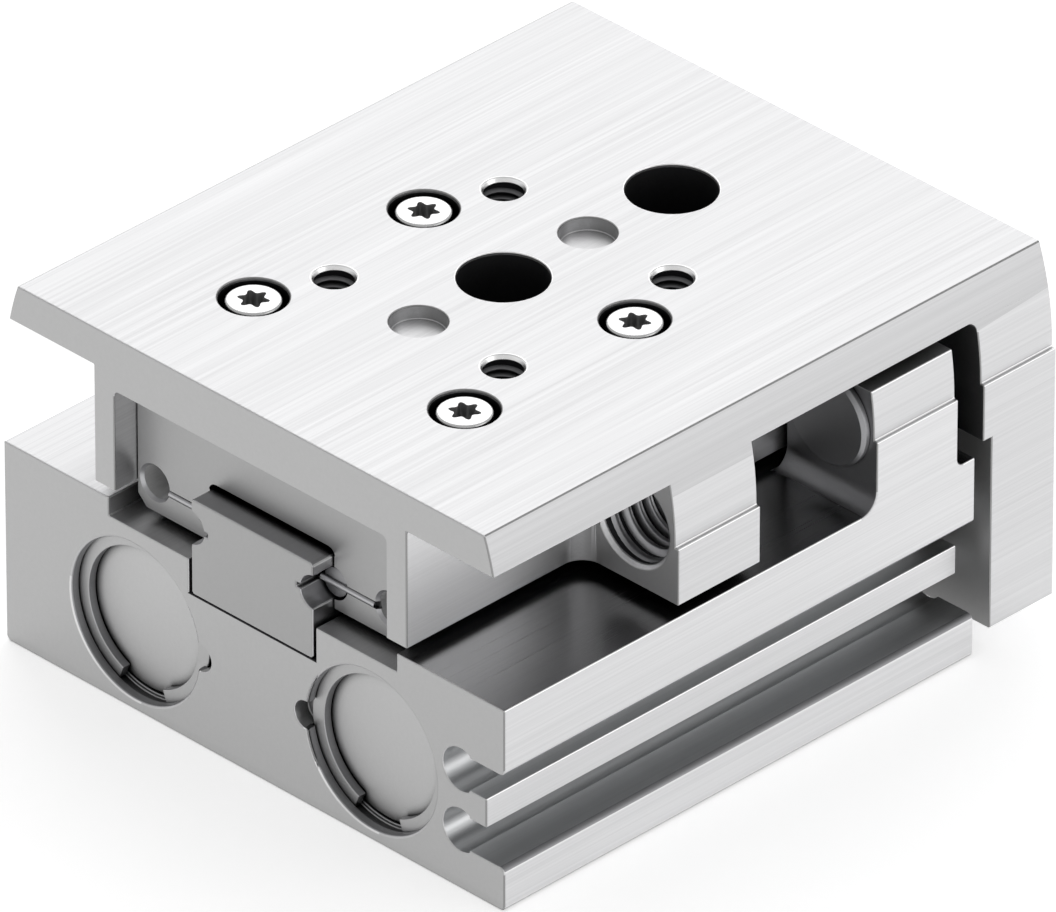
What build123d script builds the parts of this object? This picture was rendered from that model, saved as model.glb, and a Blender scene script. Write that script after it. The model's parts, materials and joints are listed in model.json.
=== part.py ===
from build123d import *
import os
from math import asin, cos, pi, sin, tan

# Sizes are in millimetres. X runs along the stroke, and +X is the way the table moves out.
# Z points up. The origin is on the housing's underside, midway between its two mounting holes.
# Left is +Y and right is -Y, as seen when looking the way the table moves out.

# Motion
stroke = 10.0

# Cuts run this far past the faces they open
overshoot = 1.0

# Housing
housing_width = 59.5
housing_height = 19.75
housing_edge = 0.3
recess_margin = 1.0
recess_depth = 1.8
rail_slot_depth = 3.3

# Sensor slots in the right-hand side
lower_slot_height = 5.75
slot_pitch = 5.95
slot_mouth_height = 3.1
slot_pocket_radius = 2.05
slot_pocket_depth = 5.15
slot_rib_setback = 2.1
slot_lip_radius = 0.6
slot_step_inset = 1.0
slot_step_width = 0.8

# Side form, shared by the table and the two lugs: a flush foot, a small step and a bulged flank
side_step_drop = 9.6
side_step = 0.4
flank_draw_in = 1.7

# Table with its legs and yoke
table_rise = 16.25
table_length = 65.7
table_rear_overhang = 0.2
plate_thickness = 3.7
core_thickness = 5.3
leg_inset = 11.2
leg_thickness = 2.45
leg_root_radius = 0.5
underside_gap = 1.1
yoke_gap = 1.95
yoke_thickness = 7.75
yoke_relief = 1.0
yoke_bottom_height = 1.85
yoke_root_radius = 1.0

# Stop lugs, on the table and on the housing
lug_length = 9.75
table_lug_root_radius = 2.0
stop_lug_front_gap = 2.1
stop_lug_top_gap = 1.25
stop_lug_leg_gap = 0.6
stop_lug_rear_radius = 1.8
stop_lug_front_radius = 0.7
stop_axis_inset = 5.3
stop_axis_drop = 9.15
stop_spare_travel = 3.05
stop_thread_diameter = 8.0
stop_thread_chamfer = 0.35
button_diameter = 9.0
button_height = 0.8
button_edge = 0.3
button_shank_diameter = 5.0
button_shank_length = 6.0

# Hole grid of the table
hole_pitch = 20.0
mounting_front_inset = 6.2
centring_diameter = 5.0
centring_depth = 1.3
access_diameter = 8.0
table_thread_diameter = 4.0
table_thread_spread = 20.0
thread_chamfer = 0.15
table_screw_offset = 7.0
table_screw_inset = 3.6
table_screw_diameter = 3.0
table_screw_head_diameter = 4.9
table_screw_head_height = 2.4
table_screw_head_drop = 0.2
table_screw_length = 8.0
table_screw_sink_diameter = 6.1

# Front face of the yoke
yoke_thread_depth = 6.0
yoke_thread_spread = 40.0
yoke_thread_rise = 10.0
yoke_pattern_drop = 13.0
yoke_centring_spread = 20.0

# Guide rail and its screws
rail_width = 14.5
rail_height = 9.4
rail_edge = 0.25
rail_side_gap = 0.3
rail_screw_steps = (-3, -2, 0)
rail_screw_pitch = 10.0
rail_screw_diameter = 3.0
rail_screw_head_diameter = 5.5
rail_screw_head_height = 1.65
rail_screw_drop = 0.3
rail_screw_grip = 4.4

# Ball guide and carriage
ball_diameter = 3.0
ball_gap = 0.1
ball_spacing = 1.6
ball_count = 7
track_height = 6.55
track_offset = 0.1
track_slit_width = 0.4
track_slit_depth = 0.45
carriage_length = 40.0
carriage_setback = 2.6
carriage_floor_gap = 0.75
carriage_leg_gap = 0.1
carriage_rail_gap = 0.28
carriage_roof_gap = 0.5
carriage_roof_radius = 0.9
carriage_edge = 1.0
return_hole_diameter = 3.1
return_hole_inset = 2.0
return_hole_rise = 0.3
return_sink_diameter = 3.6
return_sink_depth = 0.3
wire_diameter = 0.6
wire_reach = 0.9
wire_hook = 1.6
wire_hook_inset = 0.5
wire_seat_depth = 0.1
insert_length = 1.2
insert_setback = 0.15
insert_edge = 0.15

# Cylinders
cylinder_inset = 15.65
cylinder_height = 8.75
bore_diameter = 12.0
rod_diameter = 6.0
mouth_chamfer = 0.15
cap_seat_diameter = 15.3
cap_seat_depth = 5.6
bearing_seat_diameter = 14.4
bearing_seat_depth = 17.0
ring_width = 1.4
ring_thickness = 0.9
ring_setback = 0.95
ring_groove_depth = 0.35
ring_gap_angle = 42.0
cap_ring_gap_direction = -89.0
bearing_ring_gap_direction = -90.0
pry_notch_radius = 1.3
pry_notch_depth = 1.6

# Pieces in the cylinders
seat_clearance = 0.05
cap_edge = 0.2
static_seal_diameter = 1.2
static_seal_squeeze = 0.03
bearing_seal_inset = 2.4
bumper_thickness = 1.5
bumper_boss_height = 0.75
rear_bumper_diameter = 9.6
rear_bumper_hole = 5.0
front_bumper_hole = 6.8
bumper_touch_gap = 0.1
piston_length = 20.0
piston_clearance = 0.15
piston_groove_floor = 8.6
seal_width = 2.2
seal_inset = 12.0
seal_lip = 0.5
magnet_width = 5.0
magnet_inset = 4.5
magnet_diameter = 11.2
spigot_diameter = 4.0
nut_across_flats = 6.0
nut_thickness = 2.4
nut_drop = 0.4
rod_running_gap = 0.03
rod_seal_depth = 3.0
rod_seal_diameter = 9.4
rod_thread_diameter = 4.0
rod_thread_depth = 9.0
rod_screw_head_diameter = 7.0
rod_screw_head_height = 4.0
rod_screw_reach = 6.5
rod_screw_hole_gap = 0.15
rod_screw_sink_gap = 0.2
rod_screw_socket = 3.0
rod_screw_socket_depth = 2.0

# Air ports in the left-hand side
port_thread_diameter = 5.0
port_thread_depth = 5.0
air_passage_diameter = 1.4
rear_passage_depth = 6.6
front_passage_gap = 0.8
port_offset = 1.5

# Mounting holes of the housing, on the same grid as the table's holes
mounting_hole_diameter = 4.5
mounting_sink_diameter = 7.8
mounting_sink_depth = 4.3

# A hexagon's corners lie this much further out than its flats
hexagon_corner = 1 / cos(pi / 6)

# Places that follow from the sizes above
side = housing_width / 2
housing_length = table_length - table_rear_overhang - yoke_gap - yoke_thickness
front_face = hole_pitch / 2 + mounting_front_inset
rear_face = front_face - housing_length
recess_floor = housing_height - recess_depth
rail_seat = recess_floor - rail_slot_depth
rail_top = rail_seat + rail_height
table_rear = rear_face - table_rear_overhang
table_front = table_rear + table_length
table_top_height = housing_height + table_rise
plate_underside = table_top_height - plate_thickness
core_underside = table_top_height - core_thickness
table_underside = housing_height + underside_gap
side_step_height = table_top_height - side_step_drop
leg_outer = side - leg_inset
leg_inner = leg_outer - leg_thickness
recess_side = leg_inner + recess_margin
yoke_face = front_face + yoke_gap
yoke_upper_face = yoke_face - yoke_relief
stop_lug_front = front_face - stop_lug_front_gap
stop_lug_rear = stop_lug_front - lug_length
table_lug_front = stop_lug_rear - button_height - stroke - stop_spare_travel
table_lug_rear = table_lug_front - lug_length
stop_lug_inner = leg_outer + stop_lug_leg_gap
stop_lug_height = plate_underside - stop_lug_top_gap
stop_axis = (-(side - stop_axis_inset), table_top_height - stop_axis_drop)
yoke_pattern_height = table_top_height - yoke_pattern_drop
mounting_places = [-hole_pitch / 2, hole_pitch / 2]
centring_places = [place - hole_pitch / 2 for place in mounting_places]
track_z = rail_seat + track_height
track_y = rail_width / 2 + track_offset
track_radius = ball_diameter / 2 + ball_gap
carriage_rear = table_rear + carriage_setback
carriage_front = carriage_rear + carriage_length
carriage_floor = recess_floor + carriage_floor_gap
carriage_side = leg_inner - carriage_leg_gap
return_hole_y = carriage_side - return_hole_inset
piston_rear = rear_face + cap_seat_depth + bumper_thickness + bumper_touch_gap
piston_front = piston_rear + piston_length
bearing_rear = front_face - bearing_seat_depth
cylinder_y = side - cylinder_inset
cylinder_places = {"left": cylinder_y, "right": -cylinder_y}
cap_rear = rear_face + ring_setback + ring_thickness + seat_clearance
cap_seal_middle = (cap_rear + rear_face + cap_seat_depth) / 2
bearing_seal_middle = bearing_rear + bearing_seal_inset


def block(x_low, x_high, y_low, y_high, z_low, z_high):
    """A plain block between two corners."""
    middle = Pos((x_low + x_high) / 2, (y_low + y_high) / 2, (z_low + z_high) / 2)
    return middle * Box(x_high - x_low, y_high - y_low, z_high - z_low)


def along_x(section, x_low, x_high):
    """A section drawn in Y and Z, extruded along X."""
    return extrude(Plane.YZ.offset(x_low) * section, x_high - x_low)


def along_y(section, y_low, y_high):
    """A section drawn in X and Z, extruded along Y."""
    return extrude(Plane.XZ.offset(-y_low) * section, y_low - y_high)


def turned(points):
    """A turned piece about the X axis, from its half outline as (x, radius) points."""
    return revolve(make_face(Polyline(*points, close=True)), Axis.X)


def ring(x_low, x_high, inner, outer):
    """A plain turned ring about the X axis."""
    return turned([(x_low, inner), (x_low, outer), (x_high, outer), (x_high, inner)])


def plug(x_low, x_high, radius):
    """A plain turned cylinder about the X axis."""
    return turned([(x_low, 0), (x_low, radius), (x_high, radius), (x_high, 0)])


def upright(x, y, z_low, z_high, radius):
    """A plain vertical cylinder."""
    return Pos(x, y, (z_low + z_high) / 2) * Cylinder(radius, z_high - z_low)


def tapped_from_top(x, y, top, depth, diameter, chamfer_size):
    """The space of a tapped hole that opens upwards, with its chamfered mouth."""
    hole = upright(x, y, top - depth, top + overshoot, diameter / 2)
    mouth = Pos(x, y, top - chamfer_size / 2) * Cone(
        diameter / 2, diameter / 2 + chamfer_size, chamfer_size
    )
    return hole + mouth


def side_form(bottom):
    """The cross-section inside which the table and the lugs are machined, from a given height up."""
    shoulder = side - side_step
    rise = side_step_drop
    radius = (rise**2 + flank_draw_in**2) / (2 * flank_draw_in)
    half_turn = asin(rise / radius) / 2
    bulge_y = shoulder - radius + radius * cos(half_turn)
    bulge_z = side_step_height + radius * sin(half_turn)
    top = shoulder - flank_draw_in
    outline = Line((-top, table_top_height), (top, table_top_height))
    outline += ThreePointArc((top, table_top_height), (bulge_y, bulge_z), (shoulder, side_step_height))
    outline += Polyline(
        (shoulder, side_step_height),
        (side, side_step_height),
        (side, bottom),
        (-side, bottom),
        (-side, side_step_height),
        (-shoulder, side_step_height),
    )
    outline += ThreePointArc((-shoulder, side_step_height), (-bulge_y, bulge_z), (-top, table_top_height))
    return make_face(outline)


def housing_section():
    """The housing's extrusion: the recess for the guide, the rail slot and the two sensor slots."""
    recess = recess_side
    slot = rail_width / 2 + rail_side_gap
    outline = Polyline(
        (-side + housing_edge, 0),
        (side - housing_edge, 0),
        (side, housing_edge),
        (side, housing_height),
        (recess, housing_height),
        (recess, recess_floor),
        (slot, recess_floor),
        (slot, rail_seat),
        (-slot, rail_seat),
        (-slot, recess_floor),
        (-recess, recess_floor),
        (-recess, housing_height),
        (-side, housing_height),
        (-side, housing_edge),
        close=True,
    )
    section = make_face(outline)
    upper_slot_height = lower_slot_height + slot_pitch
    pocket_y = -side + slot_pocket_depth
    for height in (lower_slot_height, upper_slot_height):
        section -= Pos(pocket_y, height) * Circle(slot_pocket_radius)
        section -= Pos(pocket_y - slot_pocket_depth, height) * Rectangle(
            2 * slot_pocket_depth, slot_mouth_height
        )
        step_height = slot_pocket_radius - slot_mouth_height / 2
        step_y = pocket_y - slot_step_inset - slot_step_width / 2
        for way in (-1, 1):
            step_z = height + way * (slot_mouth_height + step_height) / 2
            section += Pos(step_y, step_z) * Rectangle(slot_step_width, step_height)
    section -= Pos(-side, (lower_slot_height + upper_slot_height) / 2) * Rectangle(
        2 * slot_rib_setback, slot_pitch
    )
    for height, way in ((lower_slot_height, -1), (upper_slot_height, 1)):
        lip_z = height + way * (slot_mouth_height + slot_lip_radius) / 2
        lip = Pos(-side + slot_lip_radius / 2, lip_z) * Rectangle(slot_lip_radius, slot_lip_radius)
        round_z = height + way * (slot_mouth_height / 2 + slot_lip_radius)
        lip -= Pos(-side + slot_lip_radius, round_z) * Circle(slot_lip_radius)
        section -= lip
    return section


def stop_lug():
    """The upright lug on the housing's right-hand ledge that the table's stop runs against."""
    rear = stop_lug_rear
    front = stop_lug_front
    rear_radius = stop_lug_rear_radius
    front_radius = stop_lug_front_radius
    foot = housing_height
    outline = Line((rear - rear_radius, foot), (rear - rear_radius, foot - recess_depth))
    outline += Line((rear - rear_radius, foot - recess_depth), (front + front_radius, foot - recess_depth))
    outline += Line((front + front_radius, foot - recess_depth), (front + front_radius, foot))
    outline += RadiusArc((front + front_radius, foot), (front, foot + front_radius), front_radius)
    outline += Line((front, foot + front_radius), (front, stop_lug_height))
    outline += Line((front, stop_lug_height), (rear, stop_lug_height))
    outline += Line((rear, stop_lug_height), (rear, foot + rear_radius))
    outline += RadiusArc((rear, foot + rear_radius), (rear - rear_radius, foot), rear_radius)
    lug = along_y(make_face(outline), -side, -stop_lug_inner)
    return lug & along_x(side_form(foot - recess_depth), rear - rear_radius, front + front_radius)


def cylinder_space():
    """Everything that is bored out on one cylinder axis, from the cap's mouth to the rod's mouth."""
    cap_seat = cap_seat_diameter / 2
    bearing_seat = bearing_seat_diameter / 2
    bore = bore_diameter / 2
    rear_groove = rear_face + ring_setback
    front_groove = front_face - ring_setback - ring_thickness
    space = turned(
        [
            (rear_face - overshoot, 0),
            (rear_face - overshoot, cap_seat + mouth_chamfer),
            (rear_face, cap_seat + mouth_chamfer),
            (rear_face + mouth_chamfer, cap_seat),
            (rear_face + cap_seat_depth, cap_seat),
            (rear_face + cap_seat_depth, bore),
            (bearing_rear, bore),
            (bearing_rear, bearing_seat),
            (front_face - mouth_chamfer, bearing_seat),
            (front_face, bearing_seat + mouth_chamfer),
            (front_face + overshoot, bearing_seat + mouth_chamfer),
            (front_face + overshoot, 0),
        ]
    )
    space += ring(rear_groove, rear_groove + ring_thickness, bore, cap_seat + ring_groove_depth)
    space += ring(front_groove, front_groove + ring_thickness, bore, bearing_seat + ring_groove_depth)
    return space


def air_port(passage_x, way):
    """A threaded port in the left-hand side and the passage from it through both cylinders."""
    port_x = passage_x + way * port_offset
    facing_y = Rot(90, 0, 0)
    port = Pos(port_x, side - port_thread_depth / 2, cylinder_height) * facing_y * Cylinder(
        port_thread_diameter / 2, port_thread_depth
    )
    passage_start = -cylinder_y
    passage_end = side - port_thread_depth / 2
    passage = Pos(passage_x, (passage_start + passage_end) / 2, cylinder_height) * facing_y * Cylinder(
        air_passage_diameter / 2, passage_end - passage_start
    )
    return port + passage


def rail_screw_places():
    """Where the rail is screwed down, between the holes that the mounting screws need."""
    return [step * rail_screw_pitch for step in rail_screw_steps]


def housing():
    """The fixed body: a milled aluminium extrusion with one upright stop lug."""
    body = along_x(housing_section(), rear_face, front_face) + stop_lug()
    for y in cylinder_places.values():
        body -= Pos(0, y, cylinder_height) * cylinder_space()
        toward_middle = -1 if y > 0 else 1
        notch_y = y + toward_middle * (cap_seat_diameter / 2 + mouth_chamfer)
        notch = plug(rear_face, rear_face + pry_notch_depth, pry_notch_radius)
        body -= Pos(0, notch_y, cylinder_height) * notch
    body -= air_port(rear_face + rear_passage_depth, 1)
    body -= air_port(bearing_rear - front_passage_gap, 1)
    for x in mounting_places:
        body -= upright(x, 0, -overshoot, rail_seat, mounting_hole_diameter / 2)
        body -= upright(x, 0, rail_seat - mounting_sink_depth, rail_seat, mounting_sink_diameter / 2)
    for x in centring_places:
        body -= upright(x, 0, -overshoot, centring_depth, centring_diameter / 2)
    for x in rail_screw_places():
        body -= upright(x, 0, rail_seat - rail_screw_grip, rail_seat, rail_screw_diameter / 2)
    shank_hole = plug(stop_lug_rear, stop_lug_rear + button_shank_length, button_shank_diameter / 2)
    body -= Pos(0, *stop_axis) * shank_hole
    return body


def stop_button():
    """The hardened button in the housing's lug that takes the knock of an adjusted stop."""
    head = button_diameter / 2
    shank = button_shank_diameter / 2 - seat_clearance / 2
    face = stop_lug_rear - button_height
    tip = stop_lug_rear + button_shank_length - seat_clearance
    button = turned(
        [
            (face, 0),
            (face, head - button_edge),
            (face + button_edge, head),
            (stop_lug_rear, head),
            (stop_lug_rear, shank),
            (tip, shank),
            (tip, 0),
        ]
    )
    return Pos(0, *stop_axis) * button


def guide_rail():
    """The rail: a ground bar with a ball groove in each side, let into the housing."""
    half = rail_width / 2
    outline = Polyline(
        (-half + rail_edge, rail_seat),
        (half - rail_edge, rail_seat),
        (half, rail_seat + rail_edge),
        (half, rail_top - rail_edge),
        (half - rail_edge, rail_top),
        (-half + rail_edge, rail_top),
        (-half, rail_top - rail_edge),
        (-half, rail_seat + rail_edge),
        close=True,
    )
    section = make_face(outline)
    for way in (-1, 1):
        section -= Pos(way * track_y, track_z) * Circle(track_radius)
        slit_length = track_radius + track_slit_depth
        section -= Pos(way * (track_y - slit_length / 2), track_z) * Rectangle(
            slit_length, track_slit_width
        )
    rail = along_x(section, rear_face, front_face)
    for x in mounting_places:
        rail -= upright(x, 0, rail_seat, rail_top, access_diameter / 2)
    head_top = rail_top - rail_screw_drop
    for x in rail_screw_places():
        rail -= upright(x, 0, rail_seat, rail_top, rail_screw_diameter / 2 + seat_clearance)
        rail -= Pos(x, 0, head_top - rail_screw_head_height / 2) * Cone(
            rail_screw_diameter / 2 + seat_clearance,
            rail_screw_head_diameter / 2 + seat_clearance,
            rail_screw_head_height,
        )
        rail -= upright(x, 0, head_top, rail_top, rail_screw_head_diameter / 2 + seat_clearance)
    return rail


def rail_screws():
    """The countersunk screws that hold the rail down."""
    screws = []
    shank = rail_screw_diameter / 2 - seat_clearance / 2
    head_top = rail_top - rail_screw_drop
    tip = rail_seat - rail_screw_grip + seat_clearance
    for x in rail_screw_places():
        screw = upright(x, 0, tip, head_top - rail_screw_head_height, shank)
        screw += Pos(x, 0, head_top - rail_screw_head_height / 2) * Cone(
            shank, rail_screw_head_diameter / 2, rail_screw_head_height
        )
        screws.append(screw)
    return Compound(screws)


def end_cap():
    """One rear end cap: a turned disc with a flat face, a seal groove and a bumper boss."""
    outer = cap_seat_diameter / 2 - seat_clearance
    rear = cap_rear
    front = rear_face + cap_seat_depth
    groove_floor = outer - static_seal_diameter + static_seal_squeeze
    groove_low = cap_seal_middle - static_seal_diameter / 2 - static_seal_squeeze
    groove_high = cap_seal_middle + static_seal_diameter / 2 + static_seal_squeeze
    bumper_boss = rear_bumper_hole / 2 - seat_clearance
    return turned(
        [
            (rear, 0),
            (rear, outer - cap_edge),
            (rear + cap_edge, outer),
            (groove_low, outer),
            (groove_low, groove_floor),
            (groove_high, groove_floor),
            (groove_high, outer),
            (front, outer),
            (front, bumper_boss),
            (front + bumper_boss_height, bumper_boss),
            (front + bumper_boss_height, 0),
        ]
    )


def static_seal(middle_x, seat_diameter):
    """One O-ring squeezed in its groove, its round section flattened to eight sides."""
    cord = static_seal_diameter / 2 - static_seal_squeeze / 2
    middle_radius = seat_diameter / 2 - static_seal_squeeze / 2 - cord
    flat = cord * tan(pi / 8)
    section = [(cord, flat), (flat, cord), (-flat, cord), (-cord, flat)]
    section += [(-x, -r) for x, r in section]
    return turned([(middle_x + x, middle_radius + r) for x, r in section])


def snap_ring(start_x, seat_diameter, gap_direction):
    """One snap ring in its groove: a flat ring with an open gap."""
    outer = seat_diameter / 2 + ring_groove_depth - seat_clearance
    inner = outer - ring_width
    wire = ring(start_x + seat_clearance / 2, start_x + ring_thickness - seat_clearance / 2, inner, outer)
    reach = 2 * seat_diameter
    half_width = reach * tan(ring_gap_angle / 2 * pi / 180)
    wedge = make_face(
        Polyline(
            (0, 0),
            (reach, half_width),
            (reach, -half_width),
            close=True,
        )
    )
    opening = along_x(wedge, start_x - overshoot, start_x + ring_thickness + overshoot)
    return wire - Rot(gap_direction, 0, 0) * opening


def rear_bumper():
    """The elastomer ring on the end cap that cushions the retracted position."""
    start = rear_face + cap_seat_depth
    return ring(start, start + bumper_thickness, rear_bumper_hole / 2, rear_bumper_diameter / 2)


def front_bumper():
    """The elastomer ring round the rod that cushions the extended position."""
    outer = bore_diameter / 2 - piston_clearance
    return ring(bearing_rear - bumper_thickness, bearing_rear, front_bumper_hole / 2, outer)


def piston():
    """One piston: a turned body with a groove for the magnet, one for the seal and a nut recess."""
    outer = bore_diameter / 2 - piston_clearance
    floor = piston_groove_floor / 2
    magnet_start = piston_rear + magnet_inset
    seal_start = piston_rear + seal_inset
    spigot_hole = spigot_diameter / 2 + seat_clearance
    nut_recess = nut_across_flats / 2 * hexagon_corner + 2 * seat_clearance
    nut_seat = piston_rear + nut_drop + nut_thickness
    return turned(
        [
            (piston_rear, nut_recess),
            (piston_rear, outer),
            (magnet_start, outer),
            (magnet_start, floor),
            (magnet_start + magnet_width, floor),
            (magnet_start + magnet_width, outer),
            (seal_start, outer),
            (seal_start, floor),
            (seal_start + seal_width, floor),
            (seal_start + seal_width, outer),
            (piston_front, outer),
            (piston_front, spigot_hole),
            (nut_seat, spigot_hole),
            (nut_seat, nut_recess),
        ]
    )


def piston_seal():
    """One piston seal with a lip to each side and a hollow between them."""
    start = piston_rear + seal_inset + seat_clearance
    end = piston_rear + seal_inset + seal_width - seat_clearance
    inner = piston_groove_floor / 2 + seat_clearance
    outer = bore_diameter / 2 - seat_clearance
    return turned(
        [
            (start, inner),
            (start, outer),
            (start + seal_lip, outer),
            ((start + end) / 2, outer - seal_lip),
            (end - seal_lip, outer),
            (end, outer),
            (end, inner),
        ]
    )


def piston_magnet():
    """The ring magnet that the sensors in the side slots respond to."""
    start = piston_rear + magnet_inset + seat_clearance
    end = piston_rear + magnet_inset + magnet_width - seat_clearance
    return ring(start, end, piston_groove_floor / 2 + seat_clearance, magnet_diameter / 2)


def piston_nut():
    """The hexagon nut that clamps the piston against the rod's shoulder."""
    start = piston_rear + nut_drop
    hexagon = RegularPolygon(nut_across_flats / 2 * hexagon_corner, 6)
    nut = along_x(hexagon, start, start + nut_thickness)
    hole = spigot_diameter / 2 + seat_clearance
    return nut - plug(start - overshoot, start + nut_thickness + overshoot, hole)


def piston_rod():
    """One piston rod: a spigot for the piston, the ground rod and a tapped front end."""
    spigot = spigot_diameter / 2
    rod = rod_diameter / 2
    thread = rod_thread_diameter / 2
    return turned(
        [
            (piston_rear + nut_drop, 0),
            (piston_rear + nut_drop, spigot),
            (piston_front, spigot),
            (piston_front, rod),
            (yoke_face, rod),
            (yoke_face, thread),
            (yoke_face - rod_thread_depth, thread),
            (yoke_face - rod_thread_depth, 0),
        ]
    )


def rod_bearing():
    """The front bearing cartridge that guides the rod and carries its seal."""
    outer = bearing_seat_diameter / 2 - seat_clearance
    rod = rod_diameter / 2 + rod_running_gap
    front = front_face - ring_setback - ring_thickness
    seal_seat = front - rod_seal_depth
    groove_low = bearing_seal_middle - static_seal_diameter / 2 - static_seal_squeeze
    groove_high = bearing_seal_middle + static_seal_diameter / 2 + static_seal_squeeze
    groove_floor = outer - static_seal_diameter + static_seal_squeeze
    return turned(
        [
            (bearing_rear, rod),
            (bearing_rear, outer),
            (groove_low, outer),
            (groove_low, groove_floor),
            (groove_high, groove_floor),
            (groove_high, outer),
            (front, outer),
            (front, rod_seal_diameter / 2),
            (seal_seat, rod_seal_diameter / 2),
            (seal_seat, rod),
        ]
    )


def rod_seal():
    """The lip seal that wipes the rod where it leaves the housing."""
    front = front_face - ring_setback - ring_thickness - seat_clearance
    rear = front - rod_seal_depth + 2 * seat_clearance
    inner = rod_diameter / 2 + rod_running_gap
    outer = rod_seal_diameter / 2 - seat_clearance
    return turned(
        [
            (rear, inner + seal_lip),
            (rear, outer),
            (front, outer),
            (front, inner + seal_lip),
            ((rear + front) / 2, inner),
            (rear + seat_clearance, inner),
        ]
    )


def rod_screw():
    """The socket head screw that fastens the yoke to one rod."""
    head_start = table_front - rod_screw_head_height - rod_screw_sink_gap
    head_end = head_start + rod_screw_head_height
    shank = rod_thread_diameter / 2 - seat_clearance / 2
    head = rod_screw_head_diameter / 2
    screw = turned(
        [
            (yoke_face - rod_screw_reach, 0),
            (yoke_face - rod_screw_reach, shank),
            (head_start, shank),
            (head_start, head),
            (head_end, head),
            (head_end, 0),
        ]
    )
    socket = RegularPolygon(rod_screw_socket / 2 * hexagon_corner, 6)
    return screw - along_x(socket, head_end - rod_screw_socket_depth, head_end + overshoot)


def table_shell():
    """The table's outer form: the plate, the yoke and the lug, cut to the shared side form."""
    profile = Polyline(
        (table_rear, table_top_height),
        (table_front, table_top_height),
        (table_front, yoke_bottom_height),
        (yoke_face, yoke_bottom_height),
        (yoke_face, table_underside),
        (yoke_upper_face, table_underside),
        (yoke_upper_face, plate_underside),
        (table_rear, plate_underside),
        close=True,
    )
    section = make_face(profile)
    root = section.vertices().sort_by_distance((yoke_upper_face, plate_underside))[0]
    section = fillet(root, yoke_root_radius)
    shell = along_y(section, -side, side)
    lug_section = (
        Pos((table_lug_rear + table_lug_front) / 2, -(side + leg_outer) / 2)
        * Rectangle(lug_length, side - leg_outer)
    )
    for x, way in ((table_lug_rear, -1), (table_lug_front, 1)):
        radius = table_lug_root_radius
        corner = Pos(x + way * radius / 2, -leg_outer - radius / 2) * Rectangle(radius, radius)
        corner -= Pos(x + way * radius, -leg_outer - radius) * Circle(radius)
        lug_section += corner
    lug = extrude(Plane.XY.offset(table_underside) * lug_section, plate_underside - table_underside)
    return (shell + lug) & along_x(side_form(yoke_bottom_height), table_rear, table_front)


def table_legs():
    """The two legs under the plate, with the pocket between them where the carriage is screwed in."""
    outer = Pos(0, (table_underside + plate_underside) / 2) * Rectangle(
        2 * leg_outer, plate_underside - table_underside
    )
    pocket_top = core_underside
    pocket = Pos(0, (table_underside + pocket_top) / 2) * Rectangle(
        2 * leg_inner, pocket_top - table_underside
    )
    corners = pocket.vertices().sort_by(Axis.Y)[-2:]
    section = outer - fillet(corners, leg_root_radius)
    return along_x(section, table_rear, yoke_upper_face)


def table_top_holes():
    """The hole grid in the table's top: access, centring, threads and the screws to the carriage."""
    top = table_top_height
    holes = []
    for x in mounting_places:
        holes.append(upright(x, 0, core_underside, top, access_diameter / 2))
    for x in centring_places:
        holes.append(upright(x, 0, top - centring_depth, top, centring_diameter / 2))
        for way in (-1, 1):
            y = way * table_thread_spread / 2
            holes.append(
                tapped_from_top(x, y, top, core_thickness, table_thread_diameter, thread_chamfer)
            )
    sink_depth = table_screw_head_height + table_screw_head_drop
    for x, y in table_screw_places():
        holes.append(upright(x, y, top - sink_depth, top, table_screw_sink_diameter / 2))
        clearance = table_screw_diameter / 2 + 2 * seat_clearance
        holes.append(upright(x, y, core_underside, top, clearance))
    return holes


def yoke_holes():
    """The yoke's holes: two sunk holes for the rod screws, the front threads and centring holes."""
    holes = []
    sink = rod_screw_head_diameter / 2 + rod_screw_sink_gap
    sink_start = table_front - rod_screw_head_height - rod_screw_sink_gap
    for y in cylinder_places.values():
        place = Pos(0, y, cylinder_height)
        clearance = rod_thread_diameter / 2 + rod_screw_hole_gap
        holes.append(place * plug(yoke_face - overshoot, table_front + overshoot, clearance))
        holes.append(place * plug(sink_start, table_front + overshoot, sink))
    thread = table_thread_diameter / 2
    for way_y in (-1, 1):
        for way_z in (-1, 1):
            z = yoke_pattern_height + way_z * yoke_thread_rise / 2
            thread_place = Pos(0, way_y * yoke_thread_spread / 2, z)
            thread_end = table_front - yoke_thread_depth
            holes.append(thread_place * plug(thread_end, table_front + overshoot, thread))
        centring_place = Pos(0, way_y * yoke_centring_spread / 2, yoke_pattern_height)
        centring_end = table_front - centring_depth
        centring = plug(centring_end, table_front + overshoot, centring_diameter / 2)
        holes.append(centring_place * centring)
    return holes


def stop_thread():
    """The threaded hole through the table's lug, with a chamfer at each mouth."""
    thread = stop_thread_diameter / 2
    mouth = thread + stop_thread_chamfer
    space = turned(
        [
            (table_lug_rear - overshoot, 0),
            (table_lug_rear - overshoot, mouth),
            (table_lug_rear, mouth),
            (table_lug_rear + stop_thread_chamfer, thread),
            (table_lug_front - stop_thread_chamfer, thread),
            (table_lug_front, mouth),
            (table_lug_front + overshoot, mouth),
            (table_lug_front + overshoot, 0),
        ]
    )
    return Pos(0, *stop_axis) * space


def table():
    """The moving table: plate, legs, stop lug and yoke, milled from one piece."""
    body = table_shell() + table_legs()
    for hole in table_top_holes() + yoke_holes():
        body -= hole
    return body - stop_thread()


def table_screw_places():
    """The four screws that hold the carriage under the table."""
    return [
        (place - table_screw_offset, way * (leg_inner - table_screw_inset))
        for place in centring_places
        for way in (-1, 1)
    ]


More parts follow.
